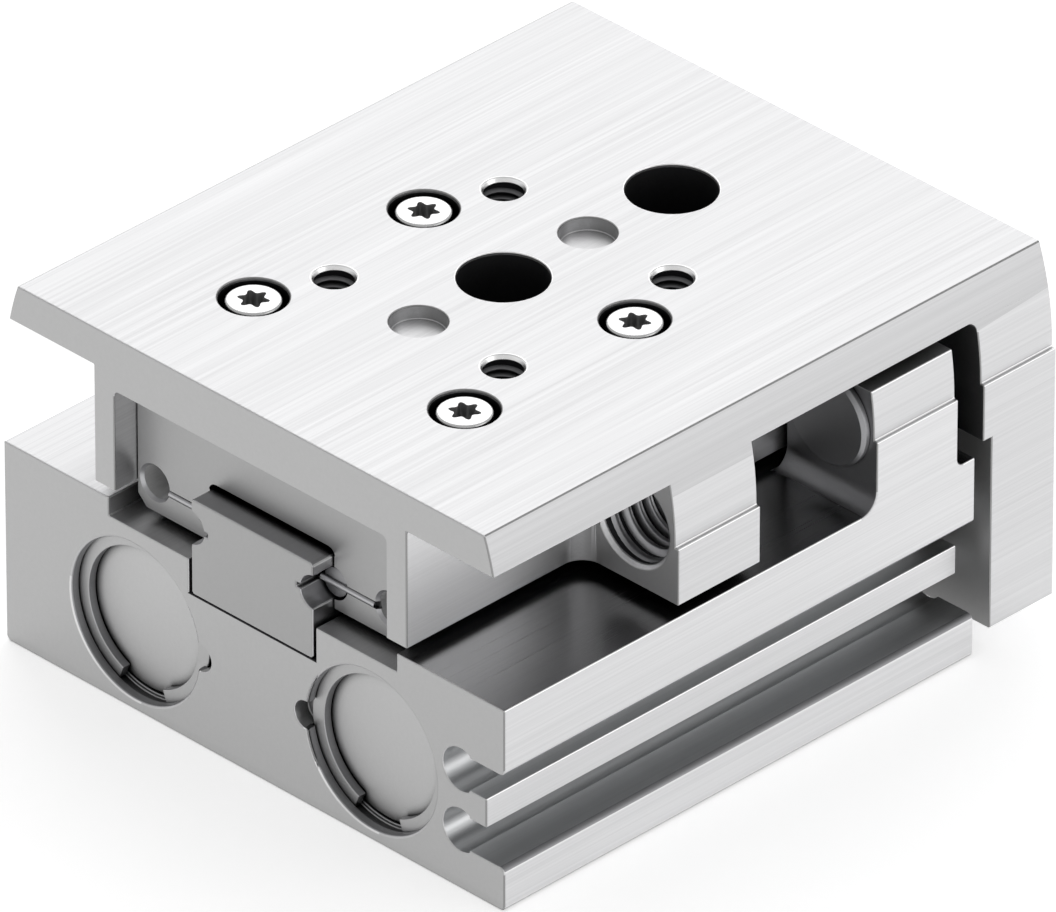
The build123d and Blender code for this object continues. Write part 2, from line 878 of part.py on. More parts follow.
def table_screws():
    """The flat-headed screws through the table into the carriage."""
    screws = []
    head_top = table_top_height - table_screw_head_drop
    head_bottom = head_top - table_screw_head_height
    shank = table_screw_diameter / 2 - seat_clearance / 2
    for x, y in table_screw_places():
        screw = upright(x, y, head_bottom, head_top, table_screw_head_diameter / 2)
        screw += upright(x, y, head_bottom - table_screw_length, head_bottom, shank)
        screws.append(screw)
    return Compound(screws)


def carriage_section():
    """The carriage's cross-section, open below over the rail, with a ball groove in each wall."""
    roof = rail_top + carriage_roof_gap
    inner = rail_width / 2 + carriage_rail_gap
    outline = Polyline(
        (-carriage_side + carriage_edge, carriage_floor),
        (carriage_side - carriage_edge, carriage_floor),
        (carriage_side, carriage_floor + carriage_edge),
        (carriage_side, core_underside - leg_root_radius),
        (carriage_side - leg_root_radius, core_underside),
        (-carriage_side + leg_root_radius, core_underside),
        (-carriage_side, core_underside - leg_root_radius),
        (-carriage_side, carriage_floor + carriage_edge),
        close=True,
    )
    opening = Pos(0, (carriage_floor + roof) / 2) * Rectangle(2 * inner, roof - carriage_floor)
    corners = opening.vertices().sort_by(Axis.Y)[-2:]
    section = make_face(outline) - fillet(corners, carriage_roof_radius)
    for way in (-1, 1):
        section -= Pos(way * track_y, track_z) * Circle(track_radius)
    return section


def carriage():
    """The guide carriage: a block with two ball tracks and their return holes."""
    block_of_steel = along_x(carriage_section(), carriage_rear, carriage_front)
    hole = return_hole_diameter / 2
    sink = return_sink_diameter / 2
    returns = turned(
        [
            (carriage_rear, 0),
            (carriage_rear, sink),
            (carriage_rear + return_sink_depth, hole),
            (carriage_front - return_sink_depth, hole),
            (carriage_front, sink),
            (carriage_front, 0),
        ]
    )
    for way in (-1, 1):
        block_of_steel -= Pos(0, way * return_hole_y, track_z + return_hole_rise) * returns
        groove_y = sorted((way * track_y, way * return_hole_y))
        half = wire_diameter / 2 + seat_clearance
        for face, into in ((carriage_rear, 1), (carriage_front, -1)):
            floor = face + into * (wire_seat_depth + half)
            low, high = sorted((face, floor))
            block_of_steel -= block(low, high, *groove_y, track_z - half, track_z + half)
    for x in mounting_places:
        if x < carriage_front:
            block_of_steel -= upright(x, 0, rail_top, core_underside, access_diameter / 2)
    thread_depth = table_screw_length - core_thickness + table_screw_head_height + table_screw_head_drop
    for x, y in table_screw_places():
        bottom = core_underside - thread_depth - 2 * seat_clearance
        block_of_steel -= upright(x, y, bottom, core_underside, table_screw_diameter / 2)
    return block_of_steel


def wire_retainers(face, into):
    """The two bent wires across one end of the carriage that keep the balls in their tracks."""
    wires = []
    centre_x = face + into * wire_seat_depth
    radius = wire_diameter / 2
    for way in (-1, 1):
        inner_y = way * (track_y - wire_reach)
        outer_y = way * (return_hole_y - wire_hook_inset)
        across = Pos(centre_x, (inner_y + outer_y) / 2, track_z) * Rot(90, 0, 0) * Cylinder(
            radius, abs(outer_y - inner_y)
        )
        low, high = sorted((centre_x, centre_x + into * wire_hook))
        hook = Pos(0, outer_y, track_z) * plug(low, high, radius)
        knee = Pos(centre_x, outer_y, track_z) * Sphere(radius)
        wires.append(across + hook + knee)
    return Compound(wires)


def track_inserts(face, into):
    """The two inserts that close one end of the carriage's ball tracks."""
    radius = track_radius - seat_clearance / 2
    rear = face + into * insert_setback
    disc = turned(
        [
            (rear, 0),
            (rear, radius - insert_edge),
            (rear + into * insert_edge, radius),
            (rear + into * insert_length, radius),
            (rear + into * insert_length, 0),
        ]
    )
    wall = rail_width / 2 + carriage_rail_gap + seat_clearance
    low, high = sorted((face, face + into * (insert_setback + insert_length)))
    wire_half = wire_diameter / 2 + seat_clearance
    wire_floor = face + into * (wire_seat_depth + wire_half)
    wire_low, wire_high = sorted((face, wire_floor))
    inserts = []
    for way in (-1, 1):
        beyond_wall = sorted((way * wall, way * (wall + 2 * radius)))
        insert = Pos(0, way * track_y, track_z) * disc
        insert &= block(low, high, *beyond_wall, track_z - radius, track_z + radius)
        insert -= block(wire_low, wire_high, *beyond_wall, track_z - wire_half, track_z + wire_half)
        inserts.append(insert)
    return Compound(inserts)


def ball_row(way):
    """One loaded row of balls. It rolls half as far as the table, so it starts ahead of the middle."""
    row_pitch = ball_diameter + ball_spacing
    row_length = (ball_count - 1) * row_pitch
    first = (carriage_rear + carriage_front + stroke / 2 - row_length) / 2
    balls = []
    for number in range(ball_count):
        place = Pos(first + number * row_pitch, way * track_y, track_z)
        balls.append(place * Sphere(ball_diameter / 2))
    return Compound(balls)


def cylinder_pieces():
    """Every piece on the two cylinder axes, by name."""
    cap_ring_start = rear_face + ring_setback
    bearing_ring_start = front_face - ring_setback - ring_thickness
    forms = {
        "end_cap": end_cap(),
        "cap_o_ring": static_seal(cap_seal_middle, cap_seat_diameter),
        "cap_snap_ring": snap_ring(cap_ring_start, cap_seat_diameter, cap_ring_gap_direction),
        "rear_bumper": rear_bumper(),
        "front_bumper": front_bumper(),
        "rod_bearing": rod_bearing(),
        "bearing_o_ring": static_seal(bearing_seal_middle, bearing_seat_diameter),
        "bearing_snap_ring": snap_ring(bearing_ring_start, bearing_seat_diameter, bearing_ring_gap_direction),
        "rod_seal": rod_seal(),
        "piston": piston(),
        "piston_seal": piston_seal(),
        "piston_magnet": piston_magnet(),
        "piston_nut": piston_nut(),
        "piston_rod": piston_rod(),
        "rod_screw": rod_screw(),
    }
    pieces = {}
    for hand, y in cylinder_places.items():
        for name, form in forms.items():
            pieces[f"{hand}_{name}"] = Pos(0, y, cylinder_height) * form
    return pieces


def all_pieces():
    """Every separate piece of the slide, by name."""
    pieces = {
        "housing": housing(),
        "stop_button": stop_button(),
        "guide_rail": guide_rail(),
        "rail_screws": rail_screws(),
        "table": table(),
        "table_screws": table_screws(),
        "carriage": carriage(),
        "rear_wire_retainers": wire_retainers(carriage_rear, 1),
        "front_wire_retainers": wire_retainers(carriage_front, -1),
        "rear_track_inserts": track_inserts(carriage_rear, 1),
        "front_track_inserts": track_inserts(carriage_front, -1),
        "left_balls": ball_row(1),
        "right_balls": ball_row(-1),
    }
    pieces.update(cylinder_pieces())
    return pieces


os.makedirs("parts", exist_ok=True)
for piece_name, piece in all_pieces().items():
    export_step(piece, f"parts/{piece_name}.step")
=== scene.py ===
# %% [markdown]
# # A small pneumatic slide table
#
# The real object is a pneumatic slide: two small cylinders in a milled aluminium housing push a table
# that runs on a ball guide. This lesson dresses the exact solids of that slide for a picture.
# It starts with the frame: every solid stands where it belongs, in metres, and is never moved.

import json
import math
import bmesh
import bpy
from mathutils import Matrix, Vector

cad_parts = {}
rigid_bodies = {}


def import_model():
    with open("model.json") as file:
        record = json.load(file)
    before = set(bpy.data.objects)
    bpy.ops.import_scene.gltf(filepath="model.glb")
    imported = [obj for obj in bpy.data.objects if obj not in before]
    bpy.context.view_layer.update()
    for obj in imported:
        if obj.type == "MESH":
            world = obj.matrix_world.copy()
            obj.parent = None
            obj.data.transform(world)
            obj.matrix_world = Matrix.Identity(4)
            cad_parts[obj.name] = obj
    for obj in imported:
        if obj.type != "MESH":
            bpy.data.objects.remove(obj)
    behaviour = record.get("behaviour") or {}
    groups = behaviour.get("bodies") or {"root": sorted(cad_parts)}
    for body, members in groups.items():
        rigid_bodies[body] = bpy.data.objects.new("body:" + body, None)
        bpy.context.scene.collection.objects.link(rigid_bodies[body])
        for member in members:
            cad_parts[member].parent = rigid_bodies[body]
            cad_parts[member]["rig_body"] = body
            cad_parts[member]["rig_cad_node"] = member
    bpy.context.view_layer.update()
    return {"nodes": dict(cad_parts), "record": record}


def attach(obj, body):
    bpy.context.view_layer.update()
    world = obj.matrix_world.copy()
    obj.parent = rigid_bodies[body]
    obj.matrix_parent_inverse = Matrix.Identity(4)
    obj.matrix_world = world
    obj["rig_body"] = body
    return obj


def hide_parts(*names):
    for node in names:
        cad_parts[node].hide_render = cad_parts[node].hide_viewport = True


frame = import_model()

# %% [markdown]
# ## The camera
#
# The picture was taken with a very long lens from behind, from the right-hand side and from above, so
# parallel edges stay almost parallel. A camera that looks at a point through a track-to rotation could
# also be placed by hand, but a place, a target and a focal length say the same in three lines.

# %% Camera
camera_place = Vector((-1.1516, -1.1457, 1.0315))
camera_target = Vector((-0.010446, -0.003343, 0.020))
bpy.ops.object.camera_add(location=camera_place)
camera = bpy.context.object
camera.rotation_euler = (camera_target - camera_place).to_track_quat("-Z", "Y").to_euler()
camera.data.sensor_width = 36
camera.data.lens = 774.64
camera.data.clip_start = 0.1
camera.data.clip_end = 50
bpy.context.scene.camera = camera
print("camera to target", round((camera_target - camera_place).length, 3), "m")

# %% [markdown]
# ## Colours and nodes
#
# Colours are written as a picture editor shows them, and Blender wants linear light, so one function
# turns one into the other. A second one adds a shader node with its settings and its links.

# %% Helpers for materials
MILLIMETRE = 0.001


def colour(code):
    """A linear colour from an sRGB hex code."""
    parts = [int(code[i : i + 2], 16) / 255 for i in (1, 3, 5)]
    linear = [p / 12.92 if p <= 0.04045 else ((p + 0.055) / 1.055) ** 2.4 for p in parts]
    return (*linear, 1)


def add_node(owner, kind, settings=(), inputs=()):
    """A shader node with its settings, and its inputs set to values or linked to other nodes' outputs."""
    tree = owner.node_tree
    node = tree.nodes.new(kind)
    for name, value in dict(settings).items():
        setattr(node, name, value)
    for name, value in dict(inputs).items():
        if isinstance(value, bpy.types.NodeSocket):
            tree.links.new(value, node.inputs[name])
        else:
            node.inputs[name].default_value = value
    return node


def new_material(name):
    """An empty material, and its output node."""
    material = bpy.data.materials.new(name)
    material.use_nodes = True
    material.node_tree.nodes.clear()
    return material, add_node(material, "ShaderNodeOutputMaterial")

# %% [markdown]
# ## The studio floor
#
# The object lies on a plain white floor. To the camera, and in mirrors, the floor gives a little light of
# its own, so it shows white. The glow is added to an ordinary painted surface, which still takes the
# object's shadow.

# %% Floor
FLOOR_DROP = 0.02
FLOOR_GLOW = 0.52


def seen_ray(owner):
    """1 for a ray from the camera, also by way of a mirror or a clear piece, and 0 for other light."""
    ray = add_node(owner, "ShaderNodeLightPath")
    seen = ray.outputs["Is Camera Ray"]
    for ray_kind in ("Is Glossy Ray", "Is Transmission Ray"):
        rays = {0: seen, 1: ray.outputs[ray_kind]}
        seen = add_node(owner, "ShaderNodeMath", {"operation": "MAXIMUM"}, rays).outputs[0]
    return seen


bpy.ops.object.select_all(action="DESELECT")
bpy.ops.mesh.primitive_plane_add(size=8, location=(0, 0, -FLOOR_DROP * MILLIMETRE))
floor = bpy.context.object
floor.name = "studio_floor"
floor_white, floor_output = new_material("painted_floor")
glow_inputs = {0: seen_ray(floor_white), 1: FLOOR_GLOW}
strength = add_node(floor_white, "ShaderNodeMath", {"operation": "MULTIPLY"}, glow_inputs)
glow = add_node(
    floor_white, "ShaderNodeEmission", {}, {"Color": (1, 1, 1, 1), "Strength": strength.outputs[0]}
)
paint = add_node(floor_white, "ShaderNodeBsdfDiffuse", {}, {"Color": colour("#f6f6f6")})
both = add_node(floor_white, "ShaderNodeAddShader", {}, {0: glow.outputs[0], 1: paint.outputs[0]})
floor_white.node_tree.links.new(both.outputs[0], floor_output.inputs["Surface"])
floor.data.materials.append(floor_white)
print("floor", [round(side, 1) for side in floor.dimensions], "m")

# %% [markdown]
# ## Soft light
#
# Two large square lamps, one overhead and one on the right-hand side, light the slide softly. The room
# adds an even light. Towards the horizon the room shows as white walls, to the camera and in mirrors
# alone, so that bright metal has something white to mirror while the lit faces stay as they are.


# %% Lamps and the room's light
def softbox(name, place, size, power):
    """A square lamp that faces the object."""
    bpy.ops.object.light_add(type="AREA", location=place)
    lamp = bpy.context.object
    lamp.name = name
    lamp.data.size = size
    lamp.data.energy = power
    lamp.rotation_euler = (-Vector(place)).to_track_quat("-Z", "Y").to_euler()
    return lamp


softbox("overhead_softbox", (0.8, 0.8, 1.0), 1.2, 5.1)
softbox("right_side_softbox", (0.5, -1.2, 0.5), 0.9, 2.4)

ROOM_LIGHT = 0.48
# Heights of a direction: 0 is the horizon and 1 is straight up
WALL_FULL_BELOW = 0.2
WALL_ENDS_AT = 0.45
scene = bpy.context.scene
room = bpy.data.worlds.new("room")
room.use_nodes = True
room.node_tree.nodes.clear()
scene.world = room
room_output = add_node(room, "ShaderNodeOutputWorld")
direction = add_node(room, "ShaderNodeTexCoord")
upward = add_node(room, "ShaderNodeSeparateXYZ", {}, {0: direction.outputs["Generated"]}).outputs["Z"]
wall_range = {"From Min": WALL_FULL_BELOW, "From Max": WALL_ENDS_AT, "To Min": 1.0, "To Max": 0.0}
wall = add_node(room, "ShaderNodeMapRange", {}, {"Value": upward, **wall_range})
wall_inputs = {0: seen_ray(room), 1: wall.outputs["Result"]}
wall_share = add_node(room, "ShaderNodeMath", {"operation": "MULTIPLY"}, wall_inputs)
room_light = add_node(room, "ShaderNodeBackground", {}, {"Color": (1, 1, 1, 1), "Strength": ROOM_LIGHT})
room_wall = add_node(room, "ShaderNodeBackground", {}, {"Color": (1, 1, 1, 1), "Strength": 1.0})
mix_inputs = {0: wall_share.outputs[0], 1: room_light.outputs[0], 2: room_wall.outputs[0]}
room_mix = add_node(room, "ShaderNodeMixShader", {}, mix_inputs)
room.node_tree.links.new(room_mix.outputs[0], room_output.inputs["Surface"])
scene.view_settings.view_transform = "Standard"

# %% [markdown]
# ## Metal
#
# The housing and the table are aluminium, brushed along the stroke and then anodised clear. Brushing
# leaves fine scratches that are long along X and narrow across it, so one noise texture, stretched by a
# Mapping node, gives the streaks. Faces that look along X were sawn and milled instead, and are plain
# and darker, so the surface's own normal chooses between the two finishes. Narrow gaps get painted
# shade and look almost black: an ambient occlusion node darkens the base colour there, and each finish
# says how far it reaches and at which openness it is black or fully lit.

# %% Painted shade: a colour that darkens in crevices
# How far the painted crevice shade reaches, in millimetres, and the openness at which it is black and fully
# lit
CREVICE_REACH = 2.4
CREVICE_CLOSED = 0.1
CREVICE_OPEN = 0.56


def with_painted_crevice_shade(material, base, reach=CREVICE_REACH, closed=CREVICE_CLOSED, opened=CREVICE_OPEN):
    """A base colour's socket with painted shade, darkened where something stands within reach, in
    millimetres.
    """
    near = add_node(
        material, "ShaderNodeAmbientOcclusion", {"samples": 8}, {"Distance": reach * MILLIMETRE}
    )
    openness = {"Value": near.outputs["AO"], "From Min": closed, "From Max": opened}
    light = add_node(material, "ShaderNodeMapRange", {}, openness)
    shaded = {0: base, "Scale": light.outputs[0]}
    return add_node(material, "ShaderNodeVectorMath", {"operation": "SCALE"}, shaded).outputs[0]

# %% [markdown]
# ## Streaks and cut faces
#
# The metal has two sets of values: one for brushed or turned faces, with streaks whose length and width
# are in millimetres, and one for faces that look along X. Real scratches are finer than a pixel here, so
# they are drawn coarser, just wide enough to show.

# %% Metal
SPECKLE_SIZE = 1 / 3
CUT_FROM = 0.7
CUT_FULL = 0.95


def metal(
    name, brushed, cut, rough_brushed, rough_cut, streak_depth, streak_length=20, streak_width=0.15,
    reach=CREVICE_REACH, closed=CREVICE_CLOSED, opened=CREVICE_OPEN,
):
    """A metal with streaks along X, and with a plainer finish on the faces that look along X."""
    material, output = new_material(name)
    place = add_node(material, "ShaderNodeTexCoord").outputs["Object"]
    streak_scale = [1 / (size * MILLIMETRE) for size in (streak_length, streak_width, streak_width)]
    stretched = add_node(material, "ShaderNodeMapping", {}, {"Vector": place, "Scale": streak_scale})
    noise_inputs = {"Vector": stretched.outputs[0], "Scale": 1.0, "Detail": 4.0, "Roughness": 0.6}
    streaks = add_node(material, "ShaderNodeTexNoise", {}, noise_inputs).outputs["Fac"]
    speckle_scale = [1 / (SPECKLE_SIZE * MILLIMETRE)] * 3
    even = add_node(material, "ShaderNodeMapping", {}, {"Vector": place, "Scale": speckle_scale})
    speckle_inputs = {"Vector": even.outputs[0], "Scale": 1.0, "Detail": 2.0}
    speckle = add_node(material, "ShaderNodeTexNoise", {}, speckle_inputs).outputs["Fac"]

    surface = add_node(material, "ShaderNodeNewGeometry")
    parts = add_node(material, "ShaderNodeSeparateXYZ", {}, {0: surface.outputs["Normal"]})
    facing = add_node(material, "ShaderNodeMath", {"operation": "ABSOLUTE"}, {0: parts.outputs["X"]})
    cut_range = {"From Min": CUT_FROM, "From Max": CUT_FULL, "To Min": 0.0, "To Max": 1.0}
    is_cut = add_node(material, "ShaderNodeMapRange", {}, {"Value": facing.outputs[0], **cut_range})

    streak_range = {"Value": streaks, "From Min": 0.25, "From Max": 0.75}
    bright_range = {"To Min": 1 - streak_depth, "To Max": 1 + streak_depth * 0.4}
    streak_light = add_node(material, "ShaderNodeMapRange", {}, {**streak_range, **bright_range})
    brushed_inputs = {0: colour(brushed)[:3], "Scale": streak_light.outputs[0]}
    brushed_colour = add_node(material, "ShaderNodeVectorMath", {"operation": "SCALE"}, brushed_inputs)
    speckle_range = {"From Min": 0.3, "From Max": 0.7, "To Min": 0.985, "To Max": 1.01}
    speckle_light = add_node(material, "ShaderNodeMapRange", {}, {"Value": speckle, **speckle_range})
    cut_inputs = {0: colour(cut)[:3], "Scale": speckle_light.outputs[0]}
    cut_colour = add_node(material, "ShaderNodeVectorMath", {"operation": "SCALE"}, cut_inputs)
    base_inputs = {"Factor": is_cut.outputs[0], "A": brushed_colour.outputs[0], "B": cut_colour.outputs[0]}
    base = add_node(material, "ShaderNodeMix", {"data_type": "RGBA"}, base_inputs)

    gloss_range = {"To Min": rough_brushed + 0.05, "To Max": rough_brushed - 0.05}
    gloss = add_node(material, "ShaderNodeMapRange", {}, {**streak_range, **gloss_range})
    rough_inputs = {"Factor": is_cut.outputs[0], "A": gloss.outputs[0], "B": rough_cut}
    rough = add_node(material, "ShaderNodeMix", {"data_type": "FLOAT"}, rough_inputs)
    height_inputs = {"Factor": is_cut.outputs[0], "A": streaks, "B": speckle}
    height = add_node(material, "ShaderNodeMix", {"data_type": "FLOAT"}, height_inputs)
    bump_inputs = {"Strength": 0.08, "Distance": 0.02 * MILLIMETRE, "Height": height.outputs[0]}
    bump = add_node(material, "ShaderNodeBump", {}, bump_inputs)
    shader_inputs = {
        # Painted shade: the base colour darkens in crevices
        "Base Color": with_painted_crevice_shade(material, base.outputs["Result"], reach, closed, opened),
        "Metallic": 1.0,
        "Roughness": rough.outputs["Result"],
        "Normal": bump.outputs[0],
    }
    shader = add_node(material, "ShaderNodeBsdfPrincipled", {}, shader_inputs)
    material.node_tree.links.new(shader.outputs[0], output.inputs["Surface"])
    return material


# Brushed and anodised clear: pale, satin, with long fine streaks, and plain grey where it was sawn
brushed_aluminium = metal("brushed_anodised_aluminium", "#d7d7d8", "#bababa", 0.42, 0.5, 0.09, 45, 0.21)
print("first metal", brushed_aluminium.name)

# %% [markdown]
# ## Rubber
#
# The seals are black nitrile rubber and the bumpers are dark polyurethane. Both are moulded and matt, with
# a very fine cloudiness, so a noise texture changes the roughness a little and nothing else.

# %% Rubbers
CLOUD_SIZE = 2 / 3
CLOUD_DEPTH = 0.08


def rubber(name, code, rough):
    """A matt moulded rubber."""
    material, output = new_material(name)
    place = add_node(material, "ShaderNodeTexCoord").outputs["Object"]
    cloud_inputs = {"Vector": place, "Scale": 1 / (CLOUD_SIZE * MILLIMETRE), "Detail": 3.0}
    cloud = add_node(material, "ShaderNodeTexNoise", {}, cloud_inputs).outputs["Fac"]
    low, high = rough - CLOUD_DEPTH, rough + CLOUD_DEPTH
    matt_inputs = {"Value": cloud, "From Min": 0.3, "From Max": 0.7, "To Min": low, "To Max": high}
    matt = add_node(material, "ShaderNodeMapRange", {}, matt_inputs)
    shader_inputs = {"Base Color": colour(code), "Roughness": matt.outputs[0]}
    shader = add_node(material, "ShaderNodeBsdfPrincipled", {}, shader_inputs)
    material.node_tree.links.new(shader.outputs[0], output.inputs["Surface"])
    return material

# %% [markdown]
# ## Finishes for the solids
#
# Every solid names a slot, such as rod_steel, and every slot gets a material. The solids themselves are
# left as they are, and only their slots are filled.

# %% Finishes by slot
finishes = {
    "housing": brushed_aluminium,
    "table": brushed_aluminium,
    # Turned on a lathe: pale and even, with short faint streaks
    "cap_aluminium": metal("turned_aluminium", "#d0d0d1", "#c0c0c0", 0.4, 0.5, 0.03, 3, 0.15),
    # Ground tool steel: greyer than aluminium and a little glossier
    "guide_steel": metal("ground_guide_steel", "#b4b4b6", "#a8a8a8", 0.32, 0.42, 0.05, 6, 0.12),
    # Polished and hardened: bright and sharp in its reflections
    "hardened_steel": metal("polished_hardened_steel", "#e0e0e2", "#e0e0e2", 0.22, 0.25, 0.02, 3, 0.15),
    # Drawn spring steel: mid grey with a slight shine
    "spring_wire": metal("drawn_spring_steel", "#b0b0b2", "#b4b4b4", 0.3, 0.4, 0.04, 3, 0.1),
    # Hard chrome: the smoothest surface here, almost a mirror
    "rod_steel": metal("hard_chromed_steel", "#cfcfd2", "#c4c4c6", 0.12, 0.3, 0.02, 3, 0.1),
    # Zinc plated: nearly white, with soft highlights
    "bright_screw": metal("zinc_plated_steel", "#e8e8e8", "#dcdcdc", 0.25, 0.3, 0.02, 2, 0.2),
    # Blackened in hot oil: dark and half matt
    "black_screw": metal("blackened_steel", "#3a3a3c", "#38383a", 0.4, 0.45, 0.08, 2, 0.2),
    # Turned brass: warm yellow, with fine turning marks
    "bearing_metal": metal("turned_brass", "#c9ab63", "#c4a65f", 0.3, 0.38, 0.04, 2, 0.12),
    # Moulded nitrile: black and matt
    "seal_rubber": rubber("nitrile_rubber", "#1c1c1c", 0.6),
    # Cast polyurethane: dark blue-grey, a little smoother
    "bumper_rubber": rubber("polyurethane_rubber", "#23303c", 0.55),
    # Sintered from powder: dark grey and grainy
    "magnet": metal("sintered_magnet", "#4a4a4c", "#484848", 0.5, 0.55, 0.08, 1, 0.3),
}
slot_of = {entry["node"]: entry["material_slot"] for entry in frame["record"]["subparts"]}
for node_name, node_object in frame["nodes"].items():
    for material_slot in node_object.material_slots:
        material_slot.material = finishes[slot_of[node_name]]
print("finished nodes", len(frame["nodes"]))

# %% [markdown]
# ## Small helpers for modelling
#
# Modelling here is edit-mode work: select a few vertices or faces by their place, then extrude, inset,
# bevel or scale them. The places are written in millimetres, as on a drawing.


# %% Helpers for edit mode
def start_clean():
    """Nothing selected, and object mode."""
    if bpy.context.mode != "OBJECT":
        bpy.ops.object.mode_set(mode="OBJECT")
    bpy.ops.object.select_all(action="DESELECT")


def choose(piece):
    """Only this piece selected, and active."""
    start_clean()
    piece.select_set(True)
    bpy.context.view_layer.objects.active = piece


def open_mesh(piece):
    """Opens a piece's mesh in edit mode, with all of it selected."""
    choose(piece)
    bpy.ops.object.mode_set(mode="EDIT")
    bpy.ops.mesh.select_all(action="SELECT")


def begin(name, size=(1, 1, 1)):
    """Names the primitive just added, applies its place and size, and opens its mesh."""
    piece = bpy.context.object
    piece.name = name
    piece.scale = size
    bpy.ops.object.transform_apply(location=True, rotation=True, scale=True)
    open_mesh(piece)
    return piece


def close_mesh(piece):
    """Closes a piece's mesh again, and leaves the piece selected."""
    bpy.ops.object.mode_set(mode="OBJECT")
    piece.select_set(True)


def pick(piece, test, faces=False):
    """Selects, in edit mode, the vertices (or faces) whose place in millimetres passes the test."""
    mesh = bmesh.from_edit_mesh(piece.data)
    bpy.ops.mesh.select_all(action="DESELECT")
    if faces:
        for face in mesh.faces:
            if test(face.calc_center_median() / MILLIMETRE, face.normal):
                face.select_set(True)
    else:
        for vertex in mesh.verts:
            if test(vertex.co / MILLIMETRE):
                vertex.select_set(True)
    mesh.select_flush(True)
    bmesh.update_edit_mesh(piece.data)
    return sum(face.select for face in mesh.faces) if faces else sum(v.select for v in mesh.verts)

# %% [markdown]
# ## Placing and ending a piece
#
# A piece is modelled where that is easy, then turned and moved, and that is applied to its mesh, so that
# it stands at the origin as the solids do. Pieces that repeat are copied, each with its own mesh.


# %% Helpers for whole pieces
def settle(piece, body, slot, smooth_angle=30):
    """Applies a piece's place to its mesh, shades it, gives it its finish and hangs it on its body."""
    choose(piece)
    bpy.ops.object.transform_apply(location=True, rotation=True, scale=True)
    bpy.ops.object.shade_smooth_by_angle(angle=math.radians(smooth_angle))
    piece.data.materials.clear()
    piece.data.materials.append(finishes[slot])
    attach(piece, body)
    return piece


def shift(piece, turn=(0, 0, 0), move=(0, 0, 0)):
    """Turns a settled piece about the origin, in degrees, and then moves it, in millimetres."""
    piece.rotation_euler = [math.radians(angle) for angle in turn]
    piece.location = Vector(move) * MILLIMETRE
    choose(piece)
    bpy.ops.object.transform_apply(location=True, rotation=True, scale=True)


def set_out(piece, own_place, further):
    """Leaves a copy of a settled piece at each further named place, then moves it to its own."""
    made = []
    for name, move in further.items():
        second = piece.copy()
        second.data = piece.data.copy()
        second.name = name
        second.data.name = name
        bpy.context.collection.objects.link(second)
        shift(second, move=move)
        made.append(second)
    shift(piece, move=own_place)
    return made


def refinish(piece, finish, test, plain_only=False, largest=math.inf):
    """Gives a finish to the faces, all or only the plain ones, that pass a test and aren't too large."""
    piece.data.materials.append(finish)
    changed = 0
    for face in piece.data.polygons:
        fits = face.area < largest * MILLIMETRE**2 and (face.material_index == 0 or not plain_only)
        if fits and test(face.center / MILLIMETRE, face.normal):
            face.material_index = len(piece.data.materials) - 1
            changed += 1
    print(piece.name, "faces with", finish.name, changed)

# %% [markdown]
# ## Broken edges: their painted highlights and shade
#
# Every machined edge of the real slide is broken: a chamfer of a tenth of a millimetre or so, which shows
# as a thin bright or dark line. The edges get a real bevel, and its faces get one of two finishes with
# painted light: a painted highlight, a white line, on an edge that runs along the stroke, and painted
# shade, a grey line, on upright corner edges and the table's long upper edges.


# %% Edge finish
def edge_finish(name, code, rough):
    """A thin broken edge's painted line, with painted shade where something stands close to it."""
    material, output = new_material(name)
    base = with_painted_crevice_shade(material, colour(code)[:3])
    shader_inputs = {"Base Color": base, "Metallic": 1.0, "Roughness": rough}
    shader = add_node(material, "ShaderNodeBsdfPrincipled", {}, shader_inputs)
    material.node_tree.links.new(shader.outputs[0], output.inputs["Surface"])
    return material


# Painted highlight: a thin white line along the stroke
painted_highlight_edge = edge_finish("edge_with_painted_highlight", "#ffffff", 0.3)
# Painted shade: a soft grey line at the corners
painted_shade_edge = edge_finish("edge_with_painted_shade", "#9a9a9a", 0.45)
print("edges", painted_highlight_edge.name, painted_shade_edge.name)

# %% [markdown]
# ## A copy of a solid
#
# The solids have sharp edges and are made of loose triangles. So each visible one gets a copy whose
# triangles are joined, which replaces it in the picture and rides on the same body.

# %% Copies of the solids
MERGE_WITHIN = 0.002
SMOOTH_BELOW = 28


def copy_of_solid(node_name, new_name):
    """A copy of a solid with its loose triangles merged, which stands for the solid and rides as it does."""
    solid = frame["nodes"][node_name]
    piece = solid.copy()
    piece.data = solid.data.copy()
    piece.name = new_name
    piece.data.name = new_name
    piece.parent = None
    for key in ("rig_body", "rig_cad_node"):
        if key in piece:
            del piece[key]
    bpy.context.collection.objects.link(piece)
    open_mesh(piece)
    bpy.ops.mesh.customdata_custom_splitnormals_clear()
    bpy.ops.mesh.remove_doubles(threshold=MERGE_WITHIN * MILLIMETRE)
    close_mesh(piece)
    bpy.ops.object.shade_smooth_by_angle(angle=math.radians(SMOOTH_BELOW))
    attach(piece, solid["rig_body"])
    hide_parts(node_name)
    return piece

# %% [markdown]
# ## Which finish an edge gets
#
# The bevel's new faces are sorted by the direction of their longest side and by their place. In the
# table's top, rims of sunk holes get the painted shade and the other rims the painted highlight. Short
# pieces of an edge, and the edges round the seats at the rear, keep the finish of the faces beside them.

# %% An edge's slot
TABLE_TOP = 36
HOUSING_REAR = -39.6
SHORT_EDGE = 0.6
SUNK_RADIUS = 3.4
SCREW_PLACES = [(-27, -12.5), (-27, 12.5), (-7, -12.5), (-7, 12.5)]
CENTRING_PLACES = [(-20, 0), (0, 0)]


